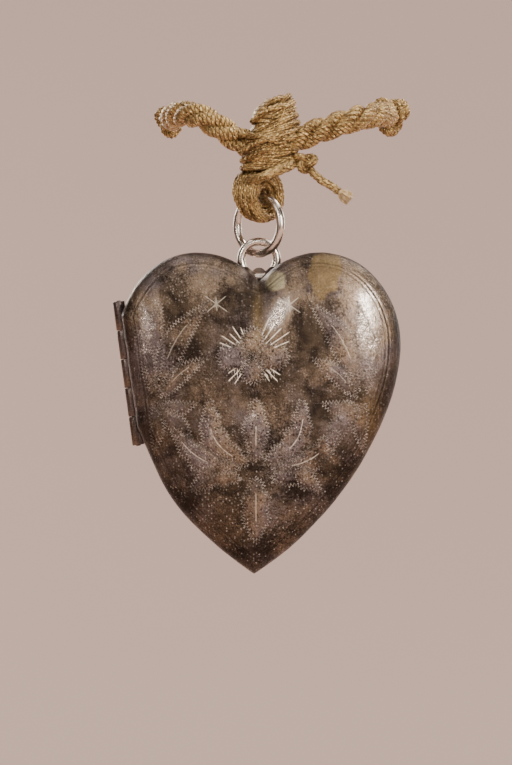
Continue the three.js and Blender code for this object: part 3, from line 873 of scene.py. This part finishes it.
def dome_rings(outline, crown, side, turns):
    """Rings of the dome. turns run from near 0 at the crown to 1 at the straight band."""
    angle = np.arctan2(outline[:, 1], outline[:, 0])
    length = np.linalg.norm(outline, axis=1)
    across = ROUNDNESS * HALF
    up = ROUNDNESS * HEIGHT / 2
    oval = 1 / np.hypot(np.cos(angle) / across, np.sin(angle) / up)
    rings = []
    for turn in turns:
        share = math.sin(turn * math.pi / 2) ** (2 / PUFF)
        rise = max(0.0, math.cos(turn * math.pi / 2)) ** (2 / PUFF)
        keep = share * share * (3 - 2 * share)
        reach = share * (keep * length + (1 - keep) * oval)
        y = side * (BAND + (crown - BAND) * rise)
        x, z = reach * np.cos(angle), reach * np.sin(angle)
        rings.append(np.stack([x, np.full(len(x), y), z], axis=1))
    return rings


def hinge_ways():
    """The directions away from the heart at the hinge, and up along its axis."""
    out = np.array([-math.cos(LEAN), 0, -math.sin(LEAN)])
    up = np.array([-math.sin(LEAN), 0, math.cos(LEAN)])
    return out, up


def clear_of_hinge_and_bail(points):
    """Pushes points out of the knuckles' groove and the bail's notch."""
    out, up = hinge_ways()
    along = points @ up
    away = points - along[:, None] * up - out * HINGE_AXIS
    gap = np.linalg.norm(away, axis=1)
    low, high = hinge_span()
    near = (gap < GROOVE) & (along > low) & (along < high)
    push = away[near] / np.maximum(gap[near], 1e-6)[:, None] * (GROOVE - gap[near])[:, None]
    points[near] += push
    bail = np.array(BAIL - HEART)
    flat = points - bail
    radial = flat * (1, 0, 1)
    radial /= np.maximum(np.linalg.norm(radial, axis=1), 1e-6)[:, None]
    off = flat - radial * BAIL_RADIUS
    gap = np.linalg.norm(off, axis=1)
    reach = WIRE + BAIL_CLEARANCE
    near = gap < reach
    points[near] += off[near] / np.maximum(gap[near], 1e-6)[:, None] * (reach - gap[near])[:, None]
    return points


def hinge_span():
    """Where the knuckles' groove starts and ends along the hinge's axis, from the CAD pin."""
    low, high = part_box("hinge_pin")
    up = Vector((-math.sin(LEAN), 0, math.cos(LEAN)))
    middle = ((low + high) / 2 / MM - HEART).dot(up)
    return middle - HINGE_REACH, middle + HINGE_REACH


# ---------------------------------------------------------------- the engraving
# Every place is (across, depth below the top of the lobes), in millimetres.


def leaf_sides(base, tip, width, bend, lobes=0):
    """The two sides of a leaf and its vein, from base to tip. Lobes give it a scalloped edge."""
    base, tip = np.array(base, float), np.array(tip, float)
    way = tip - base
    length = np.linalg.norm(way)
    way /= length
    side = np.array([-way[1], way[0]])
    t = np.linspace(0, 1, 26)[:, None]
    vein = base + way * length * t + side * bend * np.sin(math.pi * t)
    if lobes:
        scallops = 1 + 0.13 * np.cos(2 * math.pi * lobes * t)
        swell = width * np.sin(math.pi * t**0.9) ** 0.55 * scallops
    else:
        swell = width * np.sin(math.pi * t**0.85) ** 0.9 * (1 - 0.15 * t)
    return vein + side * swell, vein - side * swell, vein


def spray(side):
    """The leaves beside the flower, on the right for side 1."""
    leaves = (
        ((9.9, 13.6), (5.0, 5.0), 1.35, 0.9),
        ((10.3, 13.2), (9.7, 5.0), 1.15, 0.5),
        ((10.7, 13.8), (12.2, 7.4), 0.75, -0.4),
        ((9.6, 14.3), (5.3, 10.6), 0.95, 0.5),
        ((9.6, 15.2), (6.2, 15.0), 0.75, -0.4),
        ((9.9, 15.4), (6.9, 20.2), 0.95, 0.7),
        ((10.5, 15.2), (10.4, 19.8), 0.7, 0.4),
    )
    return [
        ((side * b[0], b[1]), (side * t[0], t[1]), w, side * bend) for b, t, w, bend in leaves
    ]


def palmette():
    """The plant in the middle: a bud, and pairs of broad scalloped leaves that curl outwards."""
    leaves = [((-0.3, 20.6), (-0.3, 14.6), 1.15, 0.0, 2), ((-0.3, 22.4), (-0.3, 28.6), 1.3, 0.0, 3)]
    pairs = (
        ((0.9, 21.0), (4.6, 14.6), 1.2, 1.5, 4),
        ((1.7, 21.4), (8.2, 17.6), 1.1, 1.1, 4),
        ((1.6, 22.4), (6.4, 23.6), 1.05, -0.9, 3),
    )
    for base, tip, width, bend, lobes in pairs:
        for side in (-1, 1):
            ends = ((side * base[0] - 0.3, base[1]), (side * tip[0] - 0.3, tip[1]))
            leaves.append((*ends, width, side * bend, lobes))
    return leaves


FLOWER = (-0.6, 10.4)


def petals():
    made = []
    for angle, reach, width in ((0, 3.5, 1.45), (90, 2.7, 1.2), (180, 3.5, 1.45), (270, 2.9, 1.2)):
        way = (math.cos(math.radians(angle)), math.sin(math.radians(angle)))
        tip = (FLOWER[0] + reach * way[0], FLOWER[1] + reach * way[1])
        base = (FLOWER[0] + 0.35 * way[0], FLOWER[1] + 0.35 * way[1])
        made.append((base, tip, width, 0.0, 1))
    return made


def bright_cuts():
    """Straight flicks of the graver, as pairs of ends, each with its strength."""
    cuts = []
    for middle, long, count in ((-135, 3.6, 5), (-45, 4.4, 5), (45, 3.3, 3), (135, 3.3, 3)):
        for k in range(count):
            angle = math.radians(middle + (k - (count - 1) / 2) * 11)
            start = 1.9 + 0.25 * abs(k - (count - 1) / 2)
            end = long - (0.2, 0.0, 0.5, 0.15, 0.6)[k]
            way = np.array([math.cos(angle), math.sin(angle)])
            cuts.append((FLOWER + way * start, FLOWER + way * end, 0.8))
    for centre in ((-4.2, 5.2), (3.0, 5.3)):
        for angle, reach in ((35, 1.2), (140, 1.1), (85, 0.6)):
            way = np.array([math.cos(math.radians(angle)), math.sin(math.radians(angle))]) * reach
            cuts.append((np.array(centre) - way, np.array(centre) + way, 0.3))
    return cuts


def veins():
    """Which leaves have a bright vein, and from where to where along it."""
    made = []
    stretches = ((6, 15), (6, 18), (5, 17), (9, 20), (10, 21), (6, 16))
    for leaf, (first, last) in zip(palmette(), stretches):
        made.append((leaf_sides(*leaf)[2][first:last], 0.45))
    for side in (-1, 1):
        for k in (0, 3):
            made.append((leaf_sides(*spray(side)[k])[2][8:18], 0.25))
    return made


def measure(points, line, found, margin=0.8):
    """Updates found, the nearest (gap, signed gap, length along) of each point to any line."""
    low, high = line.min(0) - margin, line.max(0) + margin
    inside = np.where(np.all((points > low) & (points < high), axis=1))[0]
    if not len(inside):
        return
    p = points[inside]
    reach = 0.0
    for a, b in zip(line[:-1], line[1:]):
        way = b - a
        length = np.linalg.norm(way)
        way = way / length
        off = p - a
        along = np.clip(off @ way, 0, length)
        gap = np.linalg.norm(off - along[:, None] * way, axis=1)
        better = gap < found["gap"][inside]
        chosen = inside[better]
        found["gap"][chosen] = gap[better]
        found["signed"][chosen] = np.where(
            way[0] * off[better, 1] - way[1] * off[better, 0] < 0, -gap[better], gap[better]
        )
        found["along"][chosen] = reach + along[better]
        reach += length


def nothing_found(count):
    return {
        "gap": np.full(count, 9.0),
        "signed": np.full(count, 9.0),
        "along": np.zeros(count),
    }


def within(points, polygon):
    low, high = polygon.min(0), polygon.max(0)
    held = np.zeros(len(points), bool)
    near = np.where(np.all((points > low) & (points < high), axis=1))[0]
    p = points[near]
    odd = np.zeros(len(near), bool)
    for a, b in zip(polygon, np.roll(polygon, -1, 0)):
        crosses = (a[1] > p[:, 1]) != (b[1] > p[:, 1])
        slope = (b[0] - a[0]) / (b[1] - a[1] if b[1] != a[1] else 1e-9)
        odd ^= crosses & (p[:, 0] < a[0] + (p[:, 1] - a[1]) * slope)
    held[near] = odd
    return held


def blob(points, x, depth, wide, high, lean=0.0):
    """A soft round patch, 1 in its middle."""
    dx, dz = points[:, 0] - x, points[:, 1] - depth
    c, s = math.cos(lean), math.sin(lean)
    u, v = (dx * c + dz * s) / wide, (dz * c - dx * s) / high
    return np.exp(-(u * u + v * v))


def patches(points, rows):
    """Blobs that are added up, each given as its strength and then its place and size."""
    total = 0.0
    for much, *where in rows:
        total = total + much * blob(points, *where)
    return total


def clouds(points, scale, seed):
    return np.array([noise.noise(Vector((x * scale, z * scale, seed))) for x, z in points])


# Fine pits cover most of the front. A few places between the figures are smooth.
# Each place is (strength, across, depth, half width, half height, lean).
SMOOTH_PLACES = (
    (1.0, 5.8, 16.4, 1.5, 3.4, 0.1),
    (1.0, -7.0, 16.2, 0.9, 3.8),
    (0.9, 2.2, 6.3, 1.1, 2.6, 0.6),
    (0.9, 10.6, 6.0, 2.2, 4.4),
    (0.8, 6.6, 2.4, 1.9, 2.4),
    (0.8, 4.8, 9.2, 1.6, 2.8),
    (0.7, -3.0, 4.5, 2.4, 3.0),
    (0.6, -2.0, 14.5, 1.6, 2.0),
)
# Where the front is rubbed bright, or with a strength below 0, darker than the rest. The first four
# rows, on the right shoulder, just right of the middle and at the left side, are also painted
# highlights where the lamps' reflections fall.
RUBBED_AND_HIGHLIGHT_PLACES = (
    (0.75, 10.8, 6.0, 2.2, 4.8, -0.1),
    (0.95, 1.9, 6.2, 1.1, 2.6, 0.6),
    (0.6, -11.4, 6.4, 0.8, 3.2, -0.15),
    (0.45, -10.2, 5.0, 0.7, 2.4, -0.15),
    (0.32, -6.5, 2.2, 4.2, 2.0, 0.0),
    (0.25, -12.2, 12.0, 0.9, 5.0, 0.0),
    (0.12, 0.0, 16.0, 6.0, 3.0, 0.0),
    (-0.3, -7.8, 6.6, 2.0, 3.2, 0.0),
    (-0.28, 4.9, 9.3, 1.7, 3.0, 0.0),
    (-0.12, 5.6, 16.2, 1.5, 3.6, 0.1),
    (-0.12, -7.0, 16.2, 1.0, 4.0, 0.0),
    (-0.06, 0.0, 23.5, 8.0, 4.5, 0.0),
    (-0.15, 0.0, 6.2, 0.5, 3.0, 0.0),
)


def find_figures(flat):
    """Each point's nearest wriggle-cut outline, and how far it lies inside a leaf or petal."""
    wriggle = nothing_found(len(flat))
    fill = np.zeros(len(flat))
    pillow = np.zeros(len(flat))
    plants = palmette() + petals()
    sprays = spray(-1) + spray(1)
    for k, leaf in enumerate(plants + sprays):
        one, two, _ = leaf_sides(*leaf)
        inside = within(flat, np.vstack([one, two[::-1]]))
        edge = nothing_found(len(flat))
        for side in (one, two):
            measure(flat, side, edge)
            measure(flat, side, wriggle)
        soft = np.clip(edge["gap"] / 0.45, 0, 1) * inside
        amount = 1.0 if k < len(plants) else 0.75
        fill = np.maximum(fill, inside * amount)
        pillow = np.maximum(pillow, soft * amount)
    return wriggle, fill, pillow


def find_cuts(flat):
    """Each point's nearest bright cut, and that cut's strength."""
    cuts = nothing_found(len(flat))
    strength = np.zeros(len(flat))
    lines = [(np.array([a, b]), power) for a, b, power in bright_cuts()] + veins()
    for line, power in lines:
        one = nothing_found(len(flat))
        measure(flat, line, one)
        nearer = one["gap"] < cuts["gap"]
        for key in cuts:
            cuts[key][nearer] = one[key][nearer]
        strength[nearer] = power
    return cuts, strength


def paint_dark_patches_and_seam_shade(flat, rim):
    """How dark each point is painted: dark patches low on the sides and at the tip, a band close to
    the outline, and painted shade along the shoulder, where the seam's gap lies in shadow.
    """
    dark_patches_and_seam_shade = 0.8 * blob(flat, -6.9, 24.6, 0.8, 5.0, 0.72)
    dark_patches_and_seam_shade = dark_patches_and_seam_shade + 0.8 * blob(flat, 8.2, 22.8, 0.8, 5.5, -0.7)
    dark_patches_and_seam_shade += 0.5 * blob(flat, 0.0, 29.5, 3.4, 1.0) + 0.5 * blob(flat, -10.6, 18.5, 0.7, 4.5, 0.25)
    dark_patches_and_seam_shade += 0.3 * np.exp(-((rim - 0.25) ** 2) / 0.08)
    # Painted shade: a dark line at the rim of the upper right shoulder stands in for the shadow in
    # the seam's gap.
    shoulder = np.clip((flat[:, 0] - 7.5) / 2, 0, 1) * np.clip((13 - flat[:, 1]) / 3, 0, 1)
    dark_patches_and_seam_shade += 1.3 * shoulder * np.exp(-((rim / 0.26) ** 2))
    dark_patches_and_seam_shade *= 0.45 + 1.1 * np.clip(0.5 + clouds(flat, 0.6, 21), 0, 1)
    return dark_patches_and_seam_shade


def engrave(flat, rim):
    """The mesh attributes of the front, and how far each point moves out, in millimetres."""
    wriggle, fill, pillow = find_figures(flat)
    cuts, strength = find_cuts(flat)
    groove = np.exp(-((cuts["gap"] / 0.1) ** 2)) * strength
    border = np.exp(-(((rim - 1.15) / 0.08) ** 2)) + 0.7 * np.exp(-(((rim - 1.5) / 0.07) ** 2))
    x, depth = flat[:, 0], flat[:, 1]
    smooth = patches(flat, SMOOTH_PLACES)
    wear = 0.16 + 0.22 * clouds(flat, 0.25, 3) + 0.12 * clouds(flat, 0.7, 8) + 0.2 * pillow
    wear += 0.1 * fill
    ground = 0.45 * np.clip(1 - smooth, 0, 1) + 0.4 * np.clip((depth - 19) / 4, 0, 1)
    fill = np.maximum(fill * np.clip(1.25 - 0.4 * smooth, 0, 1), ground)
    # Rubbed places, plus painted highlights on the right shoulder, near the middle and at the left
    # side.
    wear += patches(flat, RUBBED_AND_HIGHLIGHT_PLACES)
    # Bounded patches: thinly gilt, heat-browned and soldered.
    ragged = 0.25 * clouds(flat, 0.9, 31)
    gold = 0.85 * np.clip(9 * (blob(flat, 6.5, 2.2, 1.9, 2.6, 0.3) + ragged - 0.42), 0, 1)
    gold += 0.6 * blob(flat, 11.2, 17.5, 1.1, 4.2, -0.1) + 0.7 * blob(flat, -0.1, 6.0, 0.55, 2.6)
    solder = np.clip(8 * (blob(flat, 1.6, 2.9, 1.3, 1.1) + ragged - 0.45), 0, 1)
    lift = (
        0.07 * pillow
        - 0.08 * groove
        - 0.05 * border
        + 0.09 * clouds(flat, 0.3, 5)
        + 0.025 * clouds(flat, 1.3, 6)
        + 0.1 * solder
        - 0.5 * np.exp(-((x / 1.1) ** 2)) * np.clip(1 - (depth - 2) / 8.0, 0, 1)
    )
    attributes = {
        "wriggle_aside": wriggle["signed"],
        "wriggle_along": wriggle["along"],
        "stipple": np.clip(fill, 0, 1),
        "cut_aside": cuts["signed"],
        "cut_gap": cuts["gap"],
        "cut_bright": strength,
        "wear": wear,
        # Dark patches, border lines, and painted shade along the upper right seam.
        "dark_patches_and_seam_shade": np.clip(paint_dark_patches_and_seam_shade(flat, rim) + 0.5 * border, 0, 0.92),
        "gold": np.clip(gold, 0, 1),
        "solder": solder,
    }
    return attributes, lift


def rim_distance(flat, outline):
    """How far each point lies inside the outline, seen from the front."""
    found = nothing_found(len(flat))
    found["gap"][:] = 99.0
    loop = np.vstack([outline, outline[:1]])
    loop = np.stack([loop[:, 0], TOP - loop[:, 1]], axis=1)
    step = max(1, len(loop) // 160)
    measure(flat, loop[::step], found, margin=40)
    return found["gap"]


def make_cover(name, node, body, side, around, rings, material, engraved):
    outline = heart_outline(around)
    turns = (np.arange(rings) + 1) / rings
    outside = dome_rings(outline, DEPTH, side, turns)
    for y in np.linspace(BAND, SEAM / 2, 7)[1:]:
        outside.append(at_depth(outline, side * y))
    inner = inset(outline, WALL)
    inside = dome_rings(inner, DEPTH - WALL, side, np.linspace(1, 0.08, 9))
    inside.insert(0, at_depth(inner, side * SEAM / 2))
    skin = np.concatenate(outside)
    pole = np.array([[0, side * DEPTH, 0]])
    flat = np.stack([skin[:, 0], TOP - skin[:, 2]], axis=1)
    flat = np.vstack([flat, [[0, TOP]]])
    rim = rim_distance(flat, outline)
    if engraved:
        attributes, lift = engrave(flat, rim)
    else:
        border = np.exp(-(((rim - 1.15) / 0.12) ** 2))
        lift = 0.07 * clouds(flat, 0.3, 12) - 0.06 * border
        attributes = {}
    skin = np.vstack([skin, pole])
    normal = skin / (HALF**2, DEPTH**2 * 0.6, (HEIGHT / 2) ** 2)
    normal /= np.linalg.norm(normal, axis=1)[:, None]
    lift = lift * np.clip((np.abs(skin[:, 1]) - SEAM) / 1.2, 0, 1)
    skin = skin + normal * lift[:, None]
    points = np.vstack([skin, *inside, [[0, side * (DEPTH - WALL), 0]]])
    points = clear_of_hinge_and_bail(points)
    rows = len(outside)
    faces = ring_faces(rows, around)
    crown = rows * around
    base = crown + 1
    for i in range(around):
        following = (i + 1) % around
        faces.append((crown, following, i))
        mouth = (rows - 1) * around
        faces.append((mouth + i, mouth + following, base + following, base + i))
    for quad in ring_faces(len(inside), around):
        faces.append(tuple(base + k for k in quad))
    last = base + (len(inside) - 1) * around
    pole_inside = len(points) - 1
    for i in range(around):
        faces.append((last + i, last + (i + 1) % around, pole_inside))
    if side > 0:
        faces = [tuple(reversed(face)) for face in faces]
    extra = len(points) - len(flat)
    for key in attributes:
        rest = np.full(extra, 9.0 if key.endswith(("aside", "gap")) else 0.0)
        if key == "wear":
            rest[:] = 0.4
        attributes[key] = np.concatenate([attributes[key], rest])
    points = points + np.array(HEART)
    make_shell(name, node, points, faces, material, body, 50, attributes)


make_cover("engraved_front", "front_cover", "front_half", -1, 620, 132, ENGRAVED, True)
make_cover("plain_back", "back_cover", "back_half", 1, 320, 60, BACK_SILVER, False)


# ---------------------------------------------------------------- hinge


def hinge_points(profile, sides, lobes=0.0):
    """A turned shape about the hinge's axis. profile is (radius, place along) pairs."""
    out, up = hinge_ways()
    across = np.array([0.0, -1, 0])
    points = []
    for radius, along in profile:
        for k in range(sides):
            angle = 2 * math.pi * k / sides
            way = out * math.cos(angle) + across * math.sin(angle)
            size = radius * (1 + lobes * math.sin(5 * angle + 2.3 * along))
            points.append(np.array(HEART) + out * HINGE_AXIS + up * along + way * size)
    return points


def place_on_hinge(node):
    """The lowest and highest place of a CAD piece along the hinge's axis."""
    up = Vector((-math.sin(LEAN), 0, math.cos(LEAN)))
    places = [(v.co / MM - HEART).dot(up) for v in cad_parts[node].data.vertices]
    return min(places), max(places)


def make_knuckle(number, owner):
    node = f"knuckle_{number}_{owner}"
    low, high = place_on_hinge(node)
    low, high = low - 0.03, high + 0.03
    bore = 0.34
    soft = 0.05
    profile = [
        (bore, low),
        (KNUCKLE - soft, low),
        (KNUCKLE - 0.02, low + soft * 0.4),
        (KNUCKLE, low + soft * 1.2),
        (KNUCKLE * 0.985, (low * 2 + high) / 3),
        (KNUCKLE * 0.99, (low + high * 2) / 3),
        (KNUCKLE, high - soft * 1.2),
        (KNUCKLE - 0.02, high - soft * 0.4),
        (KNUCKLE - soft, high),
        (bore, high),
    ]
    sides = 40
    points = hinge_points(profile, sides, 0.004)
    faces = ring_faces(len(profile), sides, closed=True)
    name = f"barrel_{number}"
    made = make_piece(name, points, faces, SIDE_SILVER, f"{owner}_half")
    sharpen(made)
    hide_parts(node)


def make_pin():
    low, high = place_on_hinge("hinge_pin")
    profile = [
        (0.03, low + 0.01),
        (0.19, low + 0.03),
        (0.28, low + 0.1),
        (0.28, high - 0.1),
        (0.19, high - 0.03),
        (0.03, high - 0.01),
    ]
    points = hinge_points(profile, 32)
    faces = ring_faces(len(profile), 32)
    faces.append(tuple(reversed(range(32))))
    faces.append(tuple(range(32 * 5, 32 * 6)))
    made = make_piece("riveted_pin", points, faces, STEEL, "back_half")
    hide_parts("hinge_pin")


for number in range(1, 6):
    make_knuckle(number, "back" if number % 2 else "front")
make_pin()
for node in ("hinge_leaf_front", "hinge_leaf_back", "bail_lug"):
    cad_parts[node].data.materials.clear()
    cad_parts[node].data.materials.append(SIDE_SILVER)


# ---------------------------------------------------------------- inside


def make_band(name, node, body, profile, material):
    """A closed band that follows the heart's outline. profile is (inset, y) pairs."""
    around = 300
    outline = heart_outline(around)
    rings = [at_depth(inset(outline, distance), y) for distance, y in profile]
    points = clear_of_hinge_and_bail(np.concatenate(rings)) + np.array(HEART)
    faces = ring_faces(len(rings), around, closed=True)
    make_shell(name, node, points, faces, material, body, 35)


def make_plate(name, node, body, distance, low, high, material, slot, bow=0.0):
    """A thin sheet of the heart's shape, a little bowed."""
    around = 240
    outline = inset(heart_outline(around), distance)
    rings = []
    for share, y in ((1.0, low), (0.985, low - 0.02), (0.7, low - bow), (0.35, low - bow)):
        rings.append(at_depth(outline * share, y))
    rings = rings[::-1]
    for share, y in ((1.0, high), (0.7, high - bow), (0.35, high - bow)):
        rings.append(at_depth(outline * share, y))
    points = np.vstack([*rings, [[0, low - bow, 0]], [[0, high - bow, 0]]])
    faces = [tuple(reversed(quad)) for quad in ring_faces(len(rings), around)]
    first, last = len(points) - 2, len(points) - 1
    top = (len(rings) - 1) * around
    for i in range(around):
        following = (i + 1) % around
        faces.append((first, i, following))
        faces.append((last, top + following, top + i))
    make_shell(name, node, points + np.array(HEART), faces, material, body, 35)


FLANGE = WALL + 0.1
make_band(
    "snap_bezel",
    "snap_flange",
    "back_half",
    (
        (FLANGE + 0.4, 0.9),
        (FLANGE + 0.4, -0.78),
        (FLANGE + 0.33, -0.85),
        (FLANGE + 0.1, -0.85),
        (FLANGE + 0.03, -0.76),
        (FLANGE - 0.03, -0.62),
        (FLANGE - 0.04, -0.5),
        (FLANGE - 0.01, -0.38),
        (FLANGE + 0.02, -0.25),
        (FLANGE, 0.0),
        (FLANGE, 0.9),
    ),
    BRASS,
)
RIM_FRONT = -0.85 - SEAM
make_band(
    "front_bezel",
    "front_rim",
    "front_half",
    (
        (FLANGE + 0.35, RIM_FRONT - 0.5),
        (FLANGE + 0.35, RIM_FRONT - 0.04),
        (FLANGE + 0.3, RIM_FRONT),
        (FLANGE + 0.05, RIM_FRONT),
        (FLANGE, RIM_FRONT - 0.05),
        (FLANGE, RIM_FRONT - 0.5),
    )[::-1],
    BRASS,
)


def make_picture(half, outer, y, side):
    """A frame with a rolled lip and a beaded line, its window and its blank card."""
    lip = y + side * 0.3
    profile = [
        (outer, lip + side * 0.65),
        (outer, y + side * 0.05),
        (outer + 0.04, y + side * 0.01),
        (outer + 0.3, y),
        (outer + 0.36, y + side * 0.05),
        (outer + 0.44, y + side * 0.05),
        (outer + 0.5, y),
        (outer + 0.9, y + side * 0.02),
        (outer + 1.06, y + side * 0.1),
        (outer + 1.1, y + side * 0.2),
        (outer + 1.08, lip),
        (outer + 0.35, lip),
        (outer + 0.35, lip + side * 0.65),
    ]
    if side > 0:
        profile = profile[::-1]
    body = f"{half}_half"
    name = f"{half}_frame"
    make_band(name, f"{half}_picture_frame", body, profile, BRASS)
    inner = outer + 0.45
    window = sorted((lip + side * 0.05, lip + side * 0.3))
    card = sorted((lip + side * 0.35, lip + side * 0.6))
    make_plate(
        f"{half}_pane", f"{half}_window", body, inner, *window, CELLULOID, "celluloid"
    )
    make_plate(f"{half}_card", f"{half}_picture_card", body, inner, *card, CARD, "card")


make_picture("back", FLANGE + 0.5, -0.8, 1)
make_picture("front", FLANGE + 0.45, RIM_FRONT - 0.05, -1)


# ---------------------------------------------------------------- bail and jump ring


def make_ring(name, node, body, centre, radius, along, seam_at, seam_depth, swell, seed):
    """A ring of round wire, a little uneven, with the line where its ends meet."""
    steps, sides = 160, 28
    normal = Vector(along).cross(Vector((0, 0, 1)))
    points = []
    for k in range(steps):
        turn = 2 * math.pi * k / steps
        out = Vector(along) * math.cos(turn) + Vector((0, 0, 1)) * math.sin(turn)
        uneven = 0.02 * noise.noise(Vector((math.cos(turn), math.sin(turn), seed)))
        off = math.atan2(math.sin(turn - seam_at), math.cos(turn - seam_at))
        pinch = seam_depth * math.exp(-((off * radius / 0.07) ** 2))
        solder = swell * math.exp(-((off * radius / 0.7) ** 2))
        wire = WIRE * (1 - pinch + solder)
        for j in range(sides):
            angle = 2 * math.pi * j / sides
            flat = 1 - 0.04 * abs(math.cos(angle)) ** 3
            place = centre + out * (radius + uneven + wire * flat * math.cos(angle))
            points.append(tuple(place + normal * (wire * flat * math.sin(angle))))
    faces = [tuple(reversed(quad)) for quad in ring_faces(steps, sides, closed=True)]
    made = make_piece(name, points, faces, WIRE_SILVER, body)
    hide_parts(node)


make_ring(
    "open_jump_ring", "jump_ring", "ring", RING, RING_RADIUS, ALONG_RING, 2.5, 0.3, 0.0, 1.0
)
make_ring(
    "soldered_bail", "bail_ring", "back_half", BAIL, BAIL_RADIUS, (1, 0, 0), -1.57, 0.0, 0.12, 2.0
)


# ---------------------------------------------------------------- stage


def make_sweep():
    """A pale floor that curves up into a wall far behind the locket."""
    floor = -75.0
    bend_start = 300
    bend = 350  # radius of the curve from floor to wall
    wall_top = 1100
    width = 12000
    profile = [(-6000, floor), (-900, floor), (bend_start, floor)]
    for k in range(1, 13):
        angle = k / 12 * math.pi / 2
        y = bend_start + bend * math.sin(angle)
        profile.append((y, floor + bend * (1 - math.cos(angle))))
    profile.append((bend_start + bend, wall_top))
    columns = 9
    points = []
    for y, z in profile:
        for k in range(columns):
            points.append(((k / (columns - 1) - 0.5) * width, y, z))
    faces = []
    for r in range(len(profile) - 1):
        for k in range(columns - 1):
            low = r * columns + k
            faces.append((low, low + 1, low + columns + 1, low + columns))
    mesh = bpy.data.meshes.new("sweep")
    mesh.from_pydata((np.array(points) * MM).tolist(), [], faces)
    mesh.polygons.foreach_set("use_smooth", [True] * len(mesh.polygons))
    mesh.materials.append(floor_paint())
    sweep = bpy.data.objects.new("sweep", mesh)
    bpy.context.scene.collection.objects.link(sweep)


def light_studio():
    world = bpy.data.worlds.new("studio")
    world.use_nodes = True
    tree = world.node_tree
    # The air round the stage looks as pale as the floor, and lights the locket only a little.
    light = tree.nodes["Background"]
    light.inputs[0].default_value = (0.84, 0.74, 0.68, 1)
    light.inputs[1].default_value = 0.1
    seen = tree.nodes.new("ShaderNodeBackground")
    seen.inputs[0].default_value = (*(FLOOR_SHARE * part for part in FLOOR_SEEN), 1)
    choice = tree.nodes.new("ShaderNodeMixShader")
    path = tree.nodes.new("ShaderNodeLightPath")
    tree.links.new(path.outputs["Is Camera Ray"], choice.inputs[0])
    tree.links.new(light.outputs[0], choice.inputs[1])
    tree.links.new(seen.outputs[0], choice.inputs[2])
    tree.links.new(choice.outputs[0], tree.nodes["World Output"].inputs[0])
    bpy.context.scene.world = world
    aim = HEART * MM
    for name, way, distance, size, power in (
        ("right_window", (0.53, -0.80, 0.28), 0.5, (0.07, 0.20), 2.9),
        ("left_strip", (-0.58, -0.74, 0.33), 0.5, (0.03, 0.16), 0.85),
        ("over_camera", (-0.05, -0.93, 0.32), 0.6, (0.08, 0.05), 0.34),
        ("top_edge", (0.5, 0.4, 0.75), 0.5, (0.08, 0.08), 1.8),
        ("soft_top", (-0.1, -0.35, 0.93), 0.6, (0.5, 0.3), 0.9),
        ("behind", (-0.45, 0.85, 0.3), 0.6, (0.16, 0.3), 2.4),
        ("behind_right", (0.75, 0.6, 0.2), 0.6, (0.1, 0.3), 1.2),
    ):
        place = Vector(way).normalized() * distance + aim
        make_light(name, place, aim, size, power, (1, 0.94, 0.88))
    make_light("wall", (0.0, -0.1, 0.75), (0, 0.45, -0.05), (0.9, 0.4), 6.6, (1, 0.94, 0.89))


make_sweep()
light_studio()
